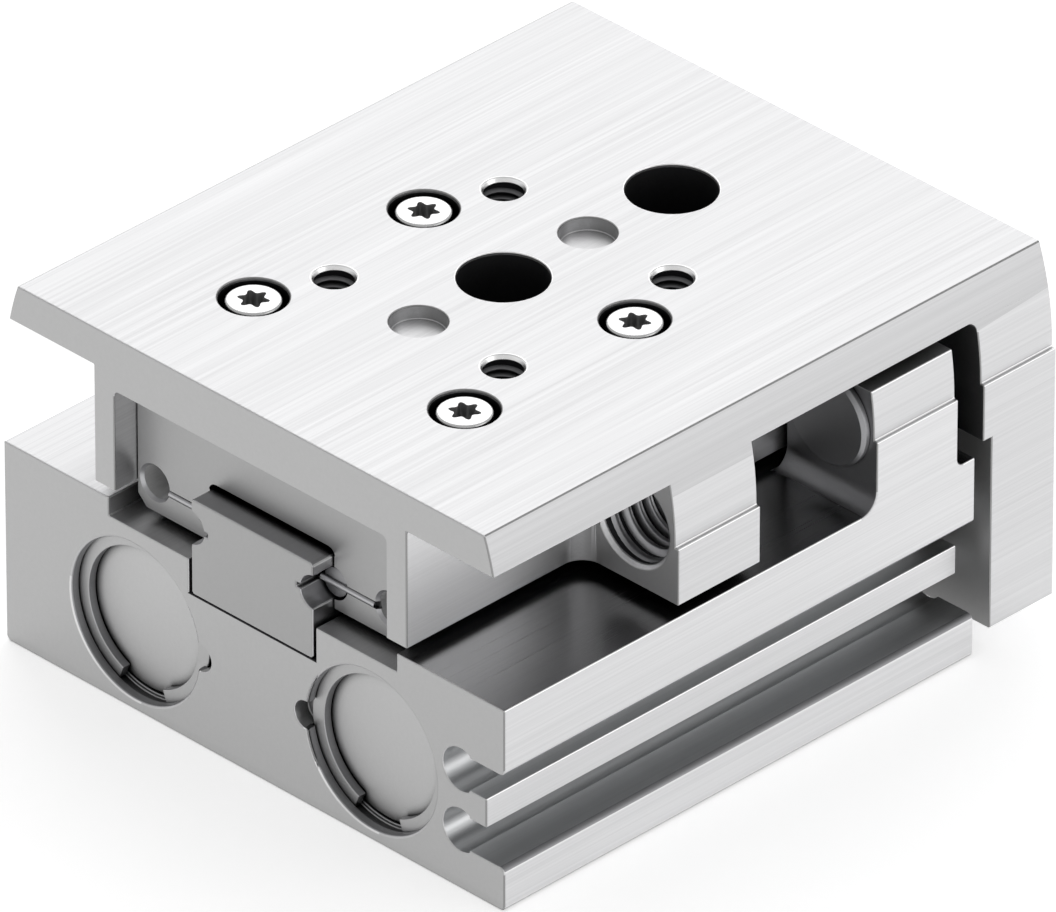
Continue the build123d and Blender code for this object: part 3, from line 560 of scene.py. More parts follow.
def edge_slot(piece, face, bright_slot):
    """An edge's slot: the painted highlight, the painted shade after it, or 0 for the piece's own."""
    corners = [piece.data.vertices[index].co for index in face.vertices]
    sides = [second - first for first, second in zip(corners, corners[1:] + corners[:1])]
    longest = max(sides, key=lambda side: side.length)
    way = longest.normalized()
    centre = face.center / MILLIMETRE
    if centre.z > TABLE_TOP - 0.4 and abs(centre.y) < 20 and abs(centre.x) < 35:
        sunk = SCREW_PLACES + CENTRING_PLACES
        is_sunk = any(math.hypot(centre.x - x, centre.y - y) < SUNK_RADIUS for x, y in sunk)
        return bright_slot + 1 if is_sunk else bright_slot
    if longest.length < SHORT_EDGE * MILLIMETRE:
        return 0
    if centre.x < HOUSING_REAR + 0.3 and abs(centre.y) < 22.5 and centre.z < 17.5:
        return 0
    runs_along = abs(way.x) > 0.9
    if abs(way.z) > 0.8 or (runs_along and centre.z > TABLE_TOP - 0.5 and abs(centre.y) > 20):
        return bright_slot + 1
    return bright_slot if runs_along else 0

# %% [markdown]
# ## The bevel
#
# Flat triangles are merged into whole faces first, so that only real edges remain. Then a Bevel modifier
# breaks every edge that is sharper than an angle.

# %% Bevelled edges
FLAT_WITHIN = 0.4
EDGE_FROM = 35


def broken_edges(piece, width):
    """A small bevel, in millimetres, on each sharp edge of a piece."""
    open_mesh(piece)
    bpy.ops.mesh.dissolve_limited(angle_limit=math.radians(FLAT_WITHIN))
    close_mesh(piece)
    bpy.ops.object.shade_smooth_by_angle(angle=math.radians(SMOOTH_BELOW))
    bevel = piece.modifiers.new("broken_edges", "BEVEL")
    bevel.width = width * MILLIMETRE
    bevel.segments = 1
    bevel.limit_method = "ANGLE"
    bevel.angle_limit = math.radians(EDGE_FROM)
    bevel.harden_normals = True
    bevel.miter_outer = "MITER_SHARP"
    bevel.use_clamp_overlap = False
    piece.data.materials.append(painted_highlight_edge)
    piece.data.materials.append(painted_shade_edge)
    bright_slot = len(piece.data.materials) - 2
    bevel.material = bright_slot
    bpy.ops.object.modifier_apply(modifier=bevel.name)
    for face in piece.data.polygons:
        if face.material_index == bright_slot:
            face.material_index = edge_slot(piece, face, bright_slot)

# %% [markdown]
# ## Countersunk mouths
#
# The four threaded holes in the table's top were countersunk before tapping, so each mouth is a short
# bright cone. The solid has a chamfer there. A boolean would leave thin slivers, so the chamfer's own
# two rings are scaled, and the lower one is pulled down.

# %% Mouths of the tapped holes in the table's top
MOUTH_BOTTOM = 35.5
MOUTH_LOW_RADIUS = 1.69
MOUTH_TOP_RADIUS = 1.93
SOLID_TOP_RADIUS = 2.15
SOLID_HOLE_RADIUS = 2.0
SOLID_MOUTH_BOTTOM = 35.85
TAPPED_PLACES = [(x, y) for x in (-20, 0) for y in (-10, 10)]


def countersink_mouths(piece):
    """Narrows each tapped hole's rim, and pulls its chamfer down into a short cone."""
    open_mesh(piece)
    cut_at = (0, 0, (MOUTH_BOTTOM - 0.05) * MILLIMETRE)
    for x, y in TAPPED_PLACES:
        centre = (x * MILLIMETRE, y * MILLIMETRE, 0)

        def is_within(place, radius):
            return math.hypot(place.x - x, place.y - y) < radius

        pick(piece, lambda c, n: abs(n.z) < 0.1 and c.z > 29 and is_within(c, 2.1), faces=True)
        bpy.ops.mesh.bisect(plane_co=cut_at, plane_no=(0, 0, 1))
        pick(piece, lambda c: abs(c.z - TABLE_TOP) < 0.01 and is_within(c, 2.3))
        shrink = MOUTH_TOP_RADIUS / SOLID_TOP_RADIUS
        bpy.ops.transform.resize(value=(shrink, shrink, 1), center_override=centre)
        lip = pick(piece, lambda c: 35.7 < c.z < 35.95 and is_within(c, 2.3))
        shrink = MOUTH_LOW_RADIUS / SOLID_HOLE_RADIUS
        bpy.ops.transform.resize(value=(shrink, shrink, 1), center_override=centre)
        bpy.ops.transform.translate(value=(0, 0, (MOUTH_BOTTOM - SOLID_MOUTH_BOTTOM) * MILLIMETRE))
    close_mesh(piece)
    print("countersunk mouths", len(TAPPED_PLACES), "with", lip, "points in the last lip")

# %% [markdown]
# ## Wider mouths
#
# The seats of the two end caps were deburred by hand at the rear, which leaves a chamfer a little wider
# than drawn. Only its outer ring has to move, so it is scaled about the bore's axis.

# %% Wider mouths of the cap seats
BORE_SIDE = 14.1
BORE_HEIGHT = 8.75
SEAT_MOUTH = 7.8
SEAT_MOUTH_SEEN = 7.9
NOTCH_SIDE = 7.6


def widen_seat_mouths(piece):
    """Makes the chamfer round each end cap's seat wider, as a hand-held deburring tool leaves it."""
    open_mesh(piece)
    wider = SEAT_MOUTH_SEEN / SEAT_MOUTH
    for y in (-BORE_SIDE, BORE_SIDE):

        def is_on_rim(place):
            radius = math.hypot(place.y - y, place.z - BORE_HEIGHT)
            is_clear = place.x < HOUSING_REAR + 0.1 and abs(place.y) > NOTCH_SIDE
            return is_clear and abs(radius - SEAT_MOUTH) < 0.03

        rim = pick(piece, is_on_rim)
        centre = Vector((0, y, BORE_HEIGHT)) * MILLIMETRE
        bpy.ops.transform.resize(value=(1, wider, wider), center_override=centre)
    close_mesh(piece)
    print("seat mouths,", rim, "points in the last rim")

# %% [markdown]
# ## The copies
#
# Eight solids show their edges in the picture. The larger pieces have the wider broken edges. The mouths
# come first, because the bevel has to follow them.

# %% The finished copies
EDGE_WIDTHS = {
    "table": 0.12,
    "housing": 0.12,
    "guide_rail": 0.14,
    "left_end_cap": 0.08,
    "right_end_cap": 0.08,
    "left_cap_snap_ring": 0.08,
    "right_cap_snap_ring": 0.08,
    "stop_button": 0.06,
}
copies = {}
for node_name, width in EDGE_WIDTHS.items():
    piece = copy_of_solid(node_name, node_name + "_finished")
    if node_name == "table":
        countersink_mouths(piece)
    if node_name == "housing":
        widen_seat_mouths(piece)
    broken_edges(piece, width)
    copies[node_name] = piece
    piece.data.calc_loop_triangles()
    print(piece.name, len(piece.data.loop_triangles), "triangles")

# %% [markdown]
# ## Drilled walls
#
# Inside the deep holes the wall is as the drill and the tap left it, with no brushing, and it gets
# painted shade: a nearly black base. Only the mouth was cleaned with a countersink. Bisect cuts the walls
# a little below the top, and the faces below the cut get a finish of their own, chosen by their place.

# %% The holes
MOUTH_HEIGHT = 35.7
STOP_SIDE = -24.45
STOP_HEIGHT = 26.85
YOKE_PLACES = [(y, z) for y in (-20, 20) for z in (18, 28)]
# Each hole is two coordinates of its axis, its radius, and where it begins and ends
UPRIGHT_HOLES = [(x, 0, 4.03, 29, MOUTH_HEIGHT) for x in (-10, 10)]
UPRIGHT_HOLES += [(x, y, 3.08, 29, MOUTH_HEIGHT) for x, y in SCREW_PLACES]
UPRIGHT_HOLES += [(x, y, 2.03, 29, MOUTH_BOTTOM) for x, y in TAPPED_PLACES]
LENGTHWAYS_HOLES = [(STOP_SIDE, STOP_HEIGHT, 4.03, -18.85, -9.9)]
LENGTHWAYS_HOLES += [(y, z, 2.03, 18, 25.6) for y, z in YOKE_PLACES]


def in_hole(place, normal):
    """Whether a place in millimetres lies in one of the upright or lengthways holes."""
    for x, y, radius, low, high in UPRIGHT_HOLES:
        if math.hypot(place.x - x, place.y - y) < radius and low < place.z < high:
            return True
    for y, z, radius, low, high in LENGTHWAYS_HOLES:
        if math.hypot(place.y - y, place.z - z) < radius and low < place.x < high:
            return True
    return False


def is_upright_wall(place, normal):
    """Whether a face is the wall of an upright hole."""
    near = any(math.hypot(place.x - x, place.y - y) < radius for x, y, radius, *ends in UPRIGHT_HOLES)
    return abs(normal.z) < 0.1 and place.z > 29 and near


def is_cone(centre, normal):
    """Whether a face belongs to the cone of a tapped hole."""
    away = min(math.hypot(centre.x - x, centre.y - y) for x, y in TAPPED_PLACES)
    return away < MOUTH_TOP_RADIUS and MOUTH_BOTTOM < centre.z < 35.93


print("holes", len(UPRIGHT_HOLES + LENGTHWAYS_HOLES))

# %% Dark walls in the deep holes
# Painted shade: nearly black, so that the hole looks deep
drilled_wall = metal("drilled_hole_wall_painted_shade", "#4c4c4e", "#4c4c4e", 0.5, 0.5, 0.1, 0.3, 0.3)
# Cut last and clean: a white ring round the thread
bright_cone = metal("countersunk_cone", "#f4f4f4", "#f4f4f4", 0.3, 0.3, 0.03, 1, 0.2, closed=-0.6)
table_copy = copies["table"]
open_mesh(table_copy)
pick(table_copy, is_upright_wall, faces=True)
bpy.ops.mesh.bisect(plane_co=(0, 0, MOUTH_HEIGHT * MILLIMETRE), plane_no=(0, 0, 1))
close_mesh(table_copy)
refinish(table_copy, drilled_wall, in_hole)
refinish(table_copy, bright_cone, is_cone)

# %% [markdown]
# ## Ledge, pocket, yoke and leg
#
# On the right-hand side the housing's top is milled down to a ledge under the table, and to a pocket
# beside the stop lug. A milled face is smoother than a brushed one and mirrors what stands over it. The
# yoke's inner face was milled too. The ledge, the pocket and the yoke's face get painted shade. The side
# of the table's leg is brushed and stands in the table's shade, and it gets painted light, so that it
# shows light. Each of them is found by its place and its direction.

# %% Ledge, pocket, yoke and leg
# Milled with a large cutter: smooth, with painted shade that makes it dark under the table
milled_ledge = metal("milled_aluminium_ledge_painted_shade", "#9e9e9f", "#aaaaac", 0.24, 0.24, 0.06, reach=5.5)
# Milled with a small cutter, with painted shade: grey, even, and dark near its walls
milled_pocket = metal("milled_aluminium_pocket_painted_shade", "#a4a4a6", "#9c9c9e", 0.4, 0.4, 0.04, reach=6)
# Brushed, with painted light: a nearly white base, so that it shows light grey in the table's shade
leg_side = metal("brushed_aluminium_leg_painted_light", "#f4f4f5", "#bababa", 0.42, 0.5, 0.06, closed=-0.3)
LEG_SIDE = -18.55
housing_copy = copies["housing"]


def is_pocket(centre, normal):
    """Whether a face belongs to the pocket in front of the stop button."""
    in_pocket = 0.5 < centre.x < 6 and centre.y < -18 and 19.76 < centre.z < 30.9
    return in_pocket and abs(normal.y) < 0.5


# Painted shade on the ledge under the table
refinish(housing_copy, milled_ledge, lambda c, n: n.z > 0.9 and 19 < c.z < 21 and c.y < -17, True)
refinish(housing_copy, milled_pocket, is_pocket)
# The yoke's inner face gets the pocket's painted shade too
refinish(table_copy, milled_pocket, lambda c, n: n.x < -0.9 and c.x > 17 and c.z > 20.9)
# Painted light on the side of the leg
refinish(table_copy, leg_side, lambda c, n: n.y < -0.9 and abs(c.y - LEG_SIDE) < 0.1, True)

# %% [markdown]
# ## The sensor slots
#
# The two slots for sensors come from the extruder's die, so their walls are smoother than the brushed
# sides, with long soft streaks. Their rounded lips turn away from the lamps and get painted shade, a
# darker base. The streaks are drawn wider than real ones, which would be finer than a pixel.

# %% The slots' finish
# Extruded: smooth, with soft wide streaks
slot_wall = metal("extruded_slot_wall", "#cecfd0", "#b8b8b8", 0.36, 0.5, 0.07, 60, 0.35)
# Extruded and rounded, with painted shade: a darker band along each mouth
slot_lip = metal("rounded_slot_lip_painted_shade", "#98989a", "#98989a", 0.5, 0.5, 0.05, 60, 0.35)
LIP_FROM = -29.1


def is_slot_wall(centre, normal):
    """Whether a face lies in a sensor slot; the outer face of the rib between them doesn't."""
    in_slots = 3 < centre.z < 14.4 and -29.7 < centre.y < -22 and abs(normal.x) < 0.5
    is_rib_face = normal.y < -0.9 and centre.y < -27 and 7 < centre.z < 10.5
    return in_slots and not is_rib_face


def is_slot_lip(centre, normal):
    """Whether a face of a slot is part of its lip."""
    return centre.y < LIP_FROM and is_slot_wall(centre, normal)


# Painted shade on the lips
refinish(housing_copy, slot_lip, is_slot_lip, True)
refinish(housing_copy, slot_wall, is_slot_wall, True)

# %% [markdown]
# ## Cap seats, caps and rings
#
# The bores' seats, the caps, their snap rings and the stop button were turned or punched. Each gets a
# grey of its own with painted shade, darker where other parts stand close. The rim of each seat was
# deburred, and on the side that looks up and to the right it gets a painted highlight, a bright line.

# %% Finishes of the round parts
# Bored, with painted shade: mid grey, dark where the ring comes close
cap_seat_wall = metal("bored_seat_wall_painted_shade", "#a0a0a2", "#a0a0a2", 0.4, 0.42, 0.05, 3, 0.1, 2.0, 0.25, 0.75)
# Painted highlight: a fine bright line on the rim's upper side
seat_rim = metal("seat_rim_painted_highlight", "#dedede", "#dedede", 0.3, 0.3, 0.03, 1, 0.2, closed=-0.6)
# Turned flat, with painted shade: an even grey disc with a soft dark border
cap_face = metal("turned_cap_face_painted_shade", "#c4c4c4", "#c4c4c4", 0.5, 0.5, 0.03, 3, 0.1, 1.7, 0.4, 0.82)
# Painted shade: the ring's inner edge, darker than its face
ring_wall = metal("ring_wall_painted_shade", "#98989a", "#98989a", 0.4, 0.42, 0.05, 3, 0.1, 1.6, 0.1, 0.6)
# Turned, with painted shade for the table's shadow: a quiet grey
stop_face = metal("turned_stop_face_painted_shade", "#9a9a9c", "#9a9a9c", 0.4, 0.42, 0.05, 3, 0.1, reach=6)


# %% Round parts at the rear
def from_bore(centre):
    """The way from the nearer bore's axis to a place."""
    return Vector((0, centre.y - math.copysign(BORE_SIDE, centre.y), centre.z - BORE_HEIGHT))


def is_seat_wall(centre, normal):
    """Whether a face is the wall of a cap's seat."""
    return centre.x < -36 and 7.3 < from_bore(centre).length < 8.0 and abs(normal.x) < 0.5


def is_lit_rim(centre, normal):
    """Whether a face is the part of a seat's rim that gets the painted highlight."""
    on_rim = centre.x < HOUSING_REAR + 0.3 and 7.65 < from_bore(centre).length < 8.15
    looks_up = normal.z - normal.y > 0.9 * math.hypot(normal.y, normal.z)
    return on_rim and 0.5 < abs(normal.x) < 0.98 and looks_up


refinish(housing_copy, cap_seat_wall, is_seat_wall)
refinish(housing_copy, seat_rim, is_lit_rim)
for side in ("left", "right"):
    copies[f"{side}_end_cap"].data.materials[0] = cap_face
    ring = copies[f"{side}_cap_snap_ring"]
    refinish(ring, ring_wall, lambda c, n: abs(n.x) < 0.5 and n.dot(from_bore(c)) < 0)
copies["stop_button"].data.materials[0] = stop_face

# %% [markdown]
# ## Sides and the rail
#
# Table and housing were anodised apart, and the picture shows the table's flanks a little darker than the
# housing's sides. The rail is ground steel, and its top lies in the shadow of the carriage, which is
# painted on it. At the rear corners of the rail's seat the gap is too narrow for any light, and a dark
# hairline is painted there as shadow.

# %% Flanks, sides and the rail
# The table's flank: the darker of the two brushed sides
table_flank = metal("brushed_aluminium_flank", "#c8c8c9", "#bababa", 0.42, 0.5, 0.09, 45, 0.21)
# The housing's side: the paler one
housing_side = metal("brushed_aluminium_side", "#dfdfe0", "#bababa", 0.42, 0.5, 0.09, 45, 0.21)
# Ground rail: grey, with fine short streaks
rail_steel = metal("ground_rail_steel", "#c4c4c6", "#a8a8a8", 0.36, 0.42, 0.05, 6, 0.12, reach=1.8)
# The rail's top, with a painted shadow: black under the carriage, pale in the open
rail_top = metal("ground_rail_top_painted_shadow", "#bcbcbe", "#a8a8a8", 0.4, 0.42, 0.05, 6, 0.12, 1.4, 0.6, 0.86)
# Painted shadow at the seat's corners: a dark hairline
seat_shadow = metal("rail_seat_painted_shadow", "#3a3a3c", "#3a3a3c", 0.6, 0.6, 0.05, 1, 0.2)
RAIL_SEAT_HEIGHT = 14.65
RAIL_SEAT_SIDE = 7.6
rail_copy = copies["guide_rail"]


def is_seat_corner(centre, normal):
    """Whether a face lies at a rear corner of the rail's seat."""
    at_rear = centre.x < HOUSING_REAR + 0.3 and abs(normal.x) < 0.95
    return at_rear and abs(centre.z - RAIL_SEAT_HEIGHT) < 0.16 and abs(centre.y) < RAIL_SEAT_SIDE


refinish(housing_copy, housing_side, lambda c, n: abs(n.y) > 0.9 and abs(c.y) > 27 and c.z < 26, True)
refinish(table_copy, table_flank, lambda c, n: abs(n.y) > 0.6 and abs(c.y) > 27 and c.z > 31.5, True)
rail_copy.data.materials[0] = rail_steel
refinish(rail_copy, rail_top, lambda c, n: n.z > 0.9 and c.z > 24)
for seat_piece in (rail_copy, housing_copy):
    refinish(seat_piece, seat_shadow, is_seat_corner, largest=3)

# %% [markdown]
# ## Track inserts
#
# A round insert closes each ball track at the carriage's end, half in the carriage and half in the rail's
# groove. A circle could be inset in the carriage, but the insert is a piece of its own on the real slide,
# so a cylinder with bevelled rims makes it.

# %% Two round inserts for each end
# Moulded: even, matt and a little dark
insert_steel = metal("moulded_track_insert", "#a4a4a6", "#929294", 0.4, 0.45, 0.03, 3, 0.1)
# Each end's name, its place, and the way into the carriage
CARRIAGE_ENDS = (("rear", -37.2, 1), ("front", 2.8, -1))
INSERT_RADIUS = 1.4
INSERT_LENGTH = 1.2
INSERT_SETBACK = 0.15
INSERT_ROUNDING = 0.15
TRACK_Y = 7.35
TRACK_Z = 21.2
for end_name, end_x, into in CARRIAGE_ENDS:
    middle_x = end_x + into * (INSERT_SETBACK + INSERT_LENGTH / 2)
    for side_name, y in (("right", -TRACK_Y), ("left", TRACK_Y)):
        start_clean()
        bpy.ops.mesh.primitive_cylinder_add(
            vertices=48,
            radius=INSERT_RADIUS * MILLIMETRE,
            depth=INSERT_LENGTH * MILLIMETRE,
            location=Vector((middle_x, y, TRACK_Z)) * MILLIMETRE,
            rotation=(0, math.pi / 2, 0),
        )
        insert = begin(end_name + "_track_insert_" + side_name)
        pick(insert, lambda c, n: abs(n.x) > 0.9, faces=True)
        bpy.ops.mesh.bevel(offset=INSERT_ROUNDING * MILLIMETRE, segments=2)
        settle(insert, "table_body", "guide_steel", 40)
        insert.data.materials[0] = insert_steel
        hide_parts(end_name + "_track_inserts")
print("insert", len(insert.data.polygons), "faces")

# %% [markdown]
# ## Retainer wires
#
# A bent spring wire crosses the carriage's end on each side and dives into it, and it keeps the balls in
# their track. A curve with a bevel would give the same shape. Here a circle is extruded along the end,
# spun round the bend and extruded into the carriage.

# %% Two bent wires for each end
# Drawn and bright: pale even in the shadow of the carriage
wire_steel = metal("bright_spring_wire", "#b8b8ba", "#b8b8ba", 0.3, 0.4, 0.04, 3, 0.1, closed=-1.0)
WIRE_RADIUS = 0.3
WIRE_INNER_Y = 5.85
WIRE_OUTER_Y = 12.8
WIRE_BEND = 0.6
WIRE_SUNK = 0.1
WIRE_TAIL = 1.0
for end_name, end_x, into in CARRIAGE_ENDS:
    for side_name, way in (("right", -1), ("left", 1)):
        start_clean()
        line_x = end_x + into * WIRE_SUNK
        bend_y = way * (WIRE_OUTER_Y - WIRE_BEND)
        bpy.ops.mesh.primitive_circle_add(
            vertices=20,
            radius=WIRE_RADIUS * MILLIMETRE,
            fill_type="NGON",
            location=Vector((line_x, way * WIRE_INNER_Y, TRACK_Z)) * MILLIMETRE,
            rotation=(math.pi / 2, 0, 0),
        )
        wire = begin(end_name + "_wire_" + side_name)
        along_wire = (0, (bend_y - way * WIRE_INNER_Y) * MILLIMETRE, 0)
        bpy.ops.mesh.extrude_region_move(TRANSFORM_OT_translate={"value": along_wire})
        bend_centre = Vector((line_x + into * WIRE_BEND, bend_y, TRACK_Z)) * MILLIMETRE
        quarter = into * way * math.pi / 2
        bpy.ops.mesh.spin(steps=8, angle=quarter, center=bend_centre, axis=(0, 0, -1))
        inwards = (into * WIRE_TAIL * MILLIMETRE, 0, 0)
        bpy.ops.mesh.extrude_region_move(TRANSFORM_OT_translate={"value": inwards})
        bpy.ops.mesh.select_all(action="SELECT")
        bpy.ops.mesh.remove_doubles(threshold=0.005 * MILLIMETRE)
        bpy.ops.mesh.normals_make_consistent(inside=False)
        settle(wire, "table_body", "spring_wire", 50)
        wire.data.materials[0] = wire_steel
        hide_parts(end_name + "_wire_retainers")
print("wire", [round(side / MILLIMETRE, 2) for side in wire.dimensions])

# %% [markdown]
# ## The carriage
#
# The carriage keeps its solid's shape, but its slot comes closer to the rail's sides, as the dark gap in
# the picture is a thin one. Only the slot's side walls have to move, so their points are scaled inwards.

# %% The carriage's slot and finish
# Ground like the rail, and lit a little even in its corners
carriage_steel = metal("ground_carriage_steel", "#b4b4b6", "#a8a8a8", 0.32, 0.42, 0.05, 6, 0.12, closed=-0.6)
# Painted light in the return holes: pale, matt walls, so that the holes don't look bottomless
return_wall = metal("return_hole_painted_light", "#d8d8d8", "#d8d8d8", 0.8, 0.8, 0.05, 1, 0.2, closed=-0.2)
RAIL_SIDE = 7.25
SLOT_SIDE = 7.53
SIDE_GAP_SEEN = 0.15
RETURN_Y = 14.0
RETURN_Z = 21.5


def is_return_wall(centre, normal):
    """Whether a face is the wall of a return hole."""
    away = math.hypot(abs(centre.y) - RETURN_Y, centre.z - RETURN_Z)
    return away < 1.7 and abs(normal.x) < 0.5


carriage_copy = copy_of_solid("carriage", "carriage_finished")
open_mesh(carriage_copy)
moved = pick(carriage_copy, lambda c: abs(abs(c.y) - SLOT_SIDE) < 0.02 and c.z < 24.5)
closer = (RAIL_SIDE + SIDE_GAP_SEEN) / SLOT_SIDE
bpy.ops.transform.resize(value=(1, closer, 1), center_override=(0, 0, 0))
close_mesh(carriage_copy)
bpy.ops.object.shade_smooth_by_angle(angle=math.radians(SMOOTH_BELOW))
for material_slot in carriage_copy.material_slots:
    material_slot.material = carriage_steel
print("carriage slot", moved, "points moved")
refinish(carriage_copy, return_wall, is_return_wall)

# %% [markdown]
# ## Table screws
#
# Four low-headed screws hold the table to the guide's carriage. Each head is turned and has a rolled rim
# and a six-lobe socket, which is punched and so has a slight taper and a conical bottom. A cylinder makes
# the head: its top is inset to the socket's size, the ring of that inset is pulled into six lobes by
# scaling vertices with the same angle to a lobe, and then the socket is extruded down.

# %% The head with its ring of lobes
HEAD_TOP = 35.8
HEAD_HEIGHT = 2.4
HEAD_RADIUS = 2.45
STEPS_AROUND = 72
LOBES = 6
LOBE_TIP = 1.42
LOBE_VALLEY = 0.94
LOBE_FLATNESS = 1.3
start_clean()
bpy.ops.mesh.primitive_cylinder_add(
    vertices=STEPS_AROUND,
    radius=HEAD_RADIUS * MILLIMETRE,
    depth=HEAD_HEIGHT * MILLIMETRE,
    location=(0, 0, (HEAD_TOP - HEAD_HEIGHT / 2) * MILLIMETRE),
)
screw = begin("table_screw_rear_right")
pick(screw, lambda c, n: n.z > 0.9, faces=True)
bpy.ops.mesh.inset(thickness=(HEAD_RADIUS - LOBE_TIP) * MILLIMETRE)
top_centre = (0, 0, HEAD_TOP * MILLIMETRE)


def is_off_lobe(place, angle):
    """Whether a point of the inset's ring lies so many degrees from the nearest lobe's middle."""
    spacing = 360 / LOBES
    around = math.degrees(math.atan2(place.y, place.x)) % spacing
    near = min(around, spacing - around)
    on_ring = abs(math.hypot(place.x, place.y) - LOBE_TIP) < 0.02
    return place.z > HEAD_TOP - 0.01 and on_ring and abs(near - angle) < 1


for step in range(1, STEPS_AROUND // LOBES // 2 + 1):
    off_lobe = step * 360 / STEPS_AROUND
    pick(screw, lambda c: is_off_lobe(c, off_lobe))
    share = (0.5 + 0.5 * math.cos(math.radians(LOBES * off_lobe))) ** LOBE_FLATNESS
    shrink = (LOBE_VALLEY + (LOBE_TIP - LOBE_VALLEY) * share) / LOBE_TIP
    bpy.ops.transform.resize(value=(shrink, shrink, 1), center_override=top_centre)
print("ring shaped in", step, "steps")

# %% [markdown]
# ## The socket and the shank
#
# The star inside the ring is extruded down for the socket's wall and once more for its cone. Underneath,
# an inset and an extrusion make the shank, and bevels round the rim and the tip.

# %% The socket, the shank and three copies
SOCKET_DEPTH = 1.5
SOCKET_TAPER = 0.94
CONE_DEPTH = 0.45
CONE_TIP = 0.05
SHANK_RADIUS = 1.47
SHANK_TIP = 25.4
RIM_ROUNDING = 0.27
TIP_CHAMFER = 0.35
# Punched, with its own painted shade: greyer than the head, but darkened only a little in its
# crevices, so that its walls stay light and the star shows
punched_socket = metal("screw_socket_painted_shade", "#c8c8c8", "#c8c8c8", 0.4, 0.4, 0.05, 1, 0.2, closed=-1.0)
pick(screw, lambda c, n: n.z > 0.9 and math.hypot(c.x, c.y) < 0.2, faces=True)
for depth, narrowing in ((SOCKET_DEPTH, SOCKET_TAPER), (CONE_DEPTH, CONE_TIP)):
    down = (0, 0, -depth * MILLIMETRE)
    bpy.ops.mesh.extrude_region_move(TRANSFORM_OT_translate={"value": down})
    bpy.ops.transform.resize(value=(narrowing, narrowing, 1), center_override=top_centre)
pick(screw, lambda c, n: n.z < -0.9, faces=True)
bpy.ops.mesh.inset(thickness=(HEAD_RADIUS - SHANK_RADIUS) * MILLIMETRE)
shank = (0, 0, -(HEAD_TOP - HEAD_HEIGHT - SHANK_TIP) * MILLIMETRE)
bpy.ops.mesh.extrude_region_move(TRANSFORM_OT_translate={"value": shank})
pick(screw, lambda c: abs(c.z - HEAD_TOP) < 0.001 and math.hypot(c.x, c.y) > HEAD_RADIUS - 0.01)
bpy.ops.mesh.bevel(offset=RIM_ROUNDING * MILLIMETRE, segments=5, profile=0.5)
pick(screw, lambda c: c.z < SHANK_TIP + 0.01)
bpy.ops.mesh.bevel(offset=TIP_CHAMFER * MILLIMETRE, segments=1)
settle(screw, "table_body", "bright_screw")


def is_in_socket(centre, normal):
    """Whether a face belongs to the screw's socket."""
    lowest = HEAD_TOP - SOCKET_DEPTH - 0.6
    return math.hypot(centre.x, centre.y) < LOBE_TIP and lowest < centre.z < HEAD_TOP - 0.01


refinish(screw, punched_socket, is_in_socket)
further_screws = {
    "table_screw_rear_left": (-27, 12.5, 0),
    "table_screw_front_right": (-7, -12.5, 0),
    "table_screw_front_left": (-7, 12.5, 0),
}
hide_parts("table_screws")
for other in set_out(screw, (-27, -12.5, 0), further_screws):
    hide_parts("table_screws")
print("screw", len(screw.data.polygons), "faces,", [round(side / MILLIMETRE, 2) for side in screw.dimensions])

# %% [markdown]
# ## Cut threads
#
# The holes of the solids have the thread's outer diameter. The thread itself is a ridge that winds up
# the wall. Its section is a plane, narrowed towards its inner edge and rounded there, and a Screw modifier
# sweeps it along a helix. Modelling the ridge, and not only a bump pattern, gives the dark grooves and
# the thin bright crests that show in the hole's mouth. A tap's first cut is shallow, so the ridge of the
# large thread also grows to its height over its first turns.

# %% A thread's ridge
RIDGE_SUNK = 0.04
ROOT_SHARE = 0.78
CREST_ROUNDING = 0.1
STEPS_A_TURN = 40


def run_in_ridge(ridge, wall, root, pitch, turns):
    """Lets a thread's ridge grow out of the wall over so many turns."""
    for vertex in ridge.data.vertices:
        part_turn = math.atan2(vertex.co.y, vertex.co.x) / (2 * math.pi) % 1
        rise = (vertex.co.z / MILLIMETRE - root / 2) / pitch
        turned = round(rise - part_turn) + part_turn
        radius = math.hypot(vertex.co.x, vertex.co.y)
        height = (wall - radius) * min(1, 0.1 + max(0, turned) / turns)
        vertex.co.x *= (wall - height) / radius
        vertex.co.y *= (wall - height) / radius


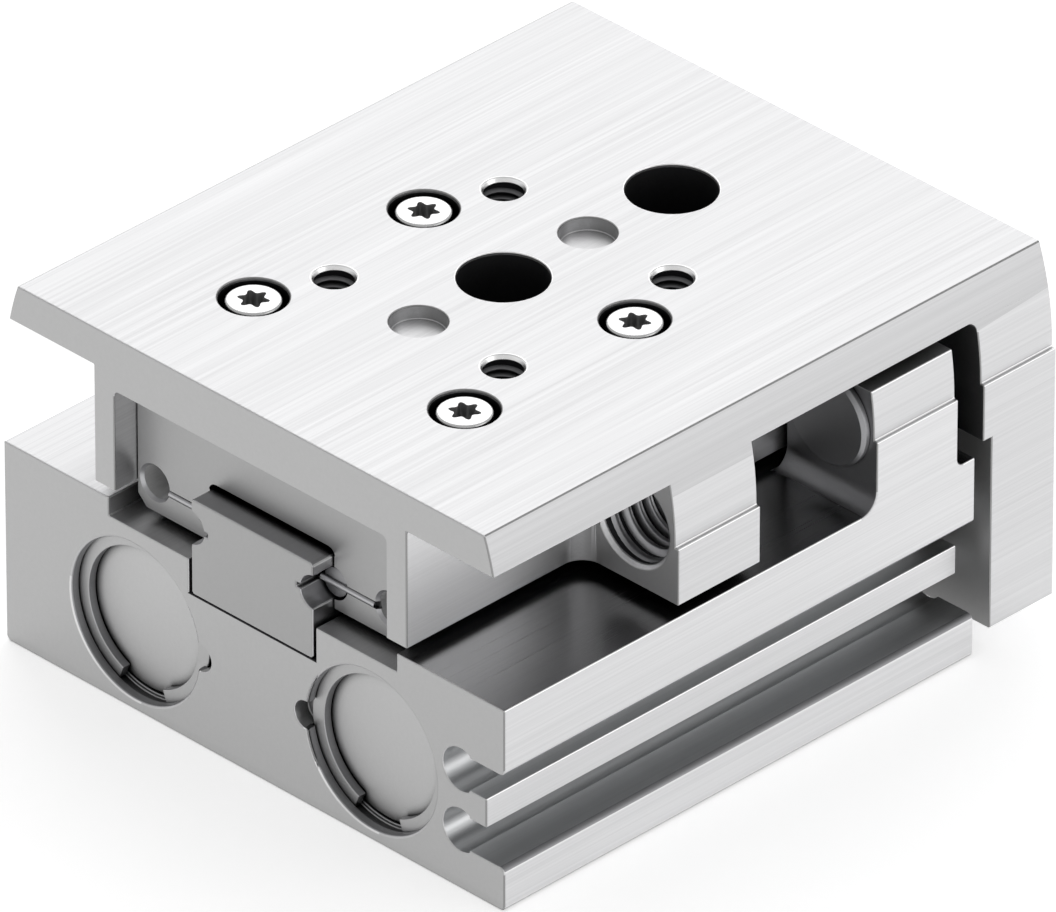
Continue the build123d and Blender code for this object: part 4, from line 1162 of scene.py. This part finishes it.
def thread_ridge(name, sizes, turns, crest_share, body, slot, start_angle=225, run_in=0):
    """The ridge of an inner thread about the Z axis, from z = 0 up, in millimetres."""
    major, minor, pitch = sizes
    depth = major + RIDGE_SUNK - minor
    root = pitch * ROOT_SHARE
    middle = Vector((minor + depth / 2, 0, root / 2)) * MILLIMETRE
    start_clean()
    bpy.ops.mesh.primitive_plane_add(size=1, location=middle, rotation=(math.pi / 2, 0, 0))
    ridge = begin(name, (depth * MILLIMETRE, root * MILLIMETRE, 1))
    pick(ridge, lambda c: c.x < minor + 0.01)
    bpy.ops.transform.resize(value=(1, 1, crest_share / ROOT_SHARE), center_override=(0, 0, middle.z))
    bpy.ops.mesh.bevel(offset=pitch * CREST_ROUNDING * MILLIMETRE, segments=3, affect="VERTICES")
    bpy.ops.mesh.select_all(action="SELECT")
    bpy.ops.mesh.delete(type="ONLY_FACE")
    close_mesh(ridge)
    winding = ridge.modifiers.new("winding", "SCREW")
    winding.axis = "Z"
    winding.angle = 2 * math.pi
    winding.screw_offset = pitch * MILLIMETRE
    winding.iterations = turns
    winding.steps = STEPS_A_TURN
    winding.render_steps = STEPS_A_TURN
    bpy.ops.object.modifier_apply(modifier=winding.name)
    open_mesh(ridge)
    bpy.ops.mesh.fill_holes(sides=0)
    bpy.ops.mesh.select_all(action="SELECT")
    bpy.ops.mesh.normals_make_consistent(inside=False)
    close_mesh(ridge)
    if run_in:
        run_in_ridge(ridge, (major + RIDGE_SUNK) * MILLIMETRE, root, pitch, run_in)
    ridge.rotation_euler = (0, 0, math.radians(start_angle))
    return settle(ridge, body, slot, 50)

# %% [markdown]
# ## The threads in their holes
#
# There are four kinds: a large one along X in the table's stop lug, four upright ones in the table's top,
# four along X in the yoke, and two along Y for the air fittings. Each kind is wound once, about the Z
# axis, then turned to its direction and copied to its places.

# %% Threads in the stop lug, the table's top, the yoke and the ports
# Outer radius, inner radius and pitch
M8 = (4.0, 3.35, 1.25)
M5 = (2.5, 2.1, 0.8)
M4 = (2.0, 1.66, 0.7)
STOP_THREAD_START = 200
# The crests of the large thread, with painted shade: light lines in a dark hole, greyer than the table
turned_thread = metal("large_thread_crest_painted_shade", "#a6a6a8", "#b4b4b6", 0.4, 0.4, 0.05, 1, 0.2)
# The crests of the small threads, with more painted shade: greyer, as they lie deeper
tapped_thread = metal("tapped_thread_crest_painted_shade", "#808082", "#808082", 0.4, 0.4, 0.05, 1, 0.2)

stop_ridge = thread_ridge("stop_lug_thread", M8, 7, 0.3, "table_body", "table", 0, 1.6)
stop_ridge.data.materials[0] = turned_thread
shift(stop_ridge, turn=(0, 90, 0))
shift(stop_ridge, turn=(STOP_THREAD_START, 0, 0), move=(-19.0, STOP_SIDE, STOP_HEIGHT))

top_ridge = thread_ridge("table_thread_rear_right", M4, 5, 0.12, "table_body", "table")
top_ridge.data.materials[0] = tapped_thread
further_top = {
    "table_thread_rear_left": (-20, 10, 31.2),
    "table_thread_front_right": (0, -10, 31.2),
    "table_thread_front_left": (0, 10, 31.2),
}
set_out(top_ridge, (-20, -10, 31.2), further_top)

yoke_ridge = thread_ridge("yoke_thread_low_right", M4, 7, 0.2, "table_body", "table")
shift(yoke_ridge, turn=(0, 90, 0))
further_yoke = {
    "yoke_thread_low_left": (20, 20, 18),
    "yoke_thread_high_right": (20, -20, 28),
    "yoke_thread_high_left": (20, 20, 28),
}
set_out(yoke_ridge, (20, -20, 18), further_yoke)

port_ridge = thread_ridge("rear_port_thread", M5, 5, 0.2, "housing_body", "housing")
shift(port_ridge, turn=(-90, 0, 0))
set_out(port_ridge, (-31.5, 24.9, BORE_HEIGHT), {"front_port_thread": (-0.1, 24.9, BORE_HEIGHT)})
print("thread ridge", len(stop_ridge.data.polygons), "faces")

# %% [markdown]
# ## The end
#
# The finished pieces have to stay inside the box of the solids. The last line ends the scene, in
# object mode and with nothing selected.

# %% The end
start_clean()
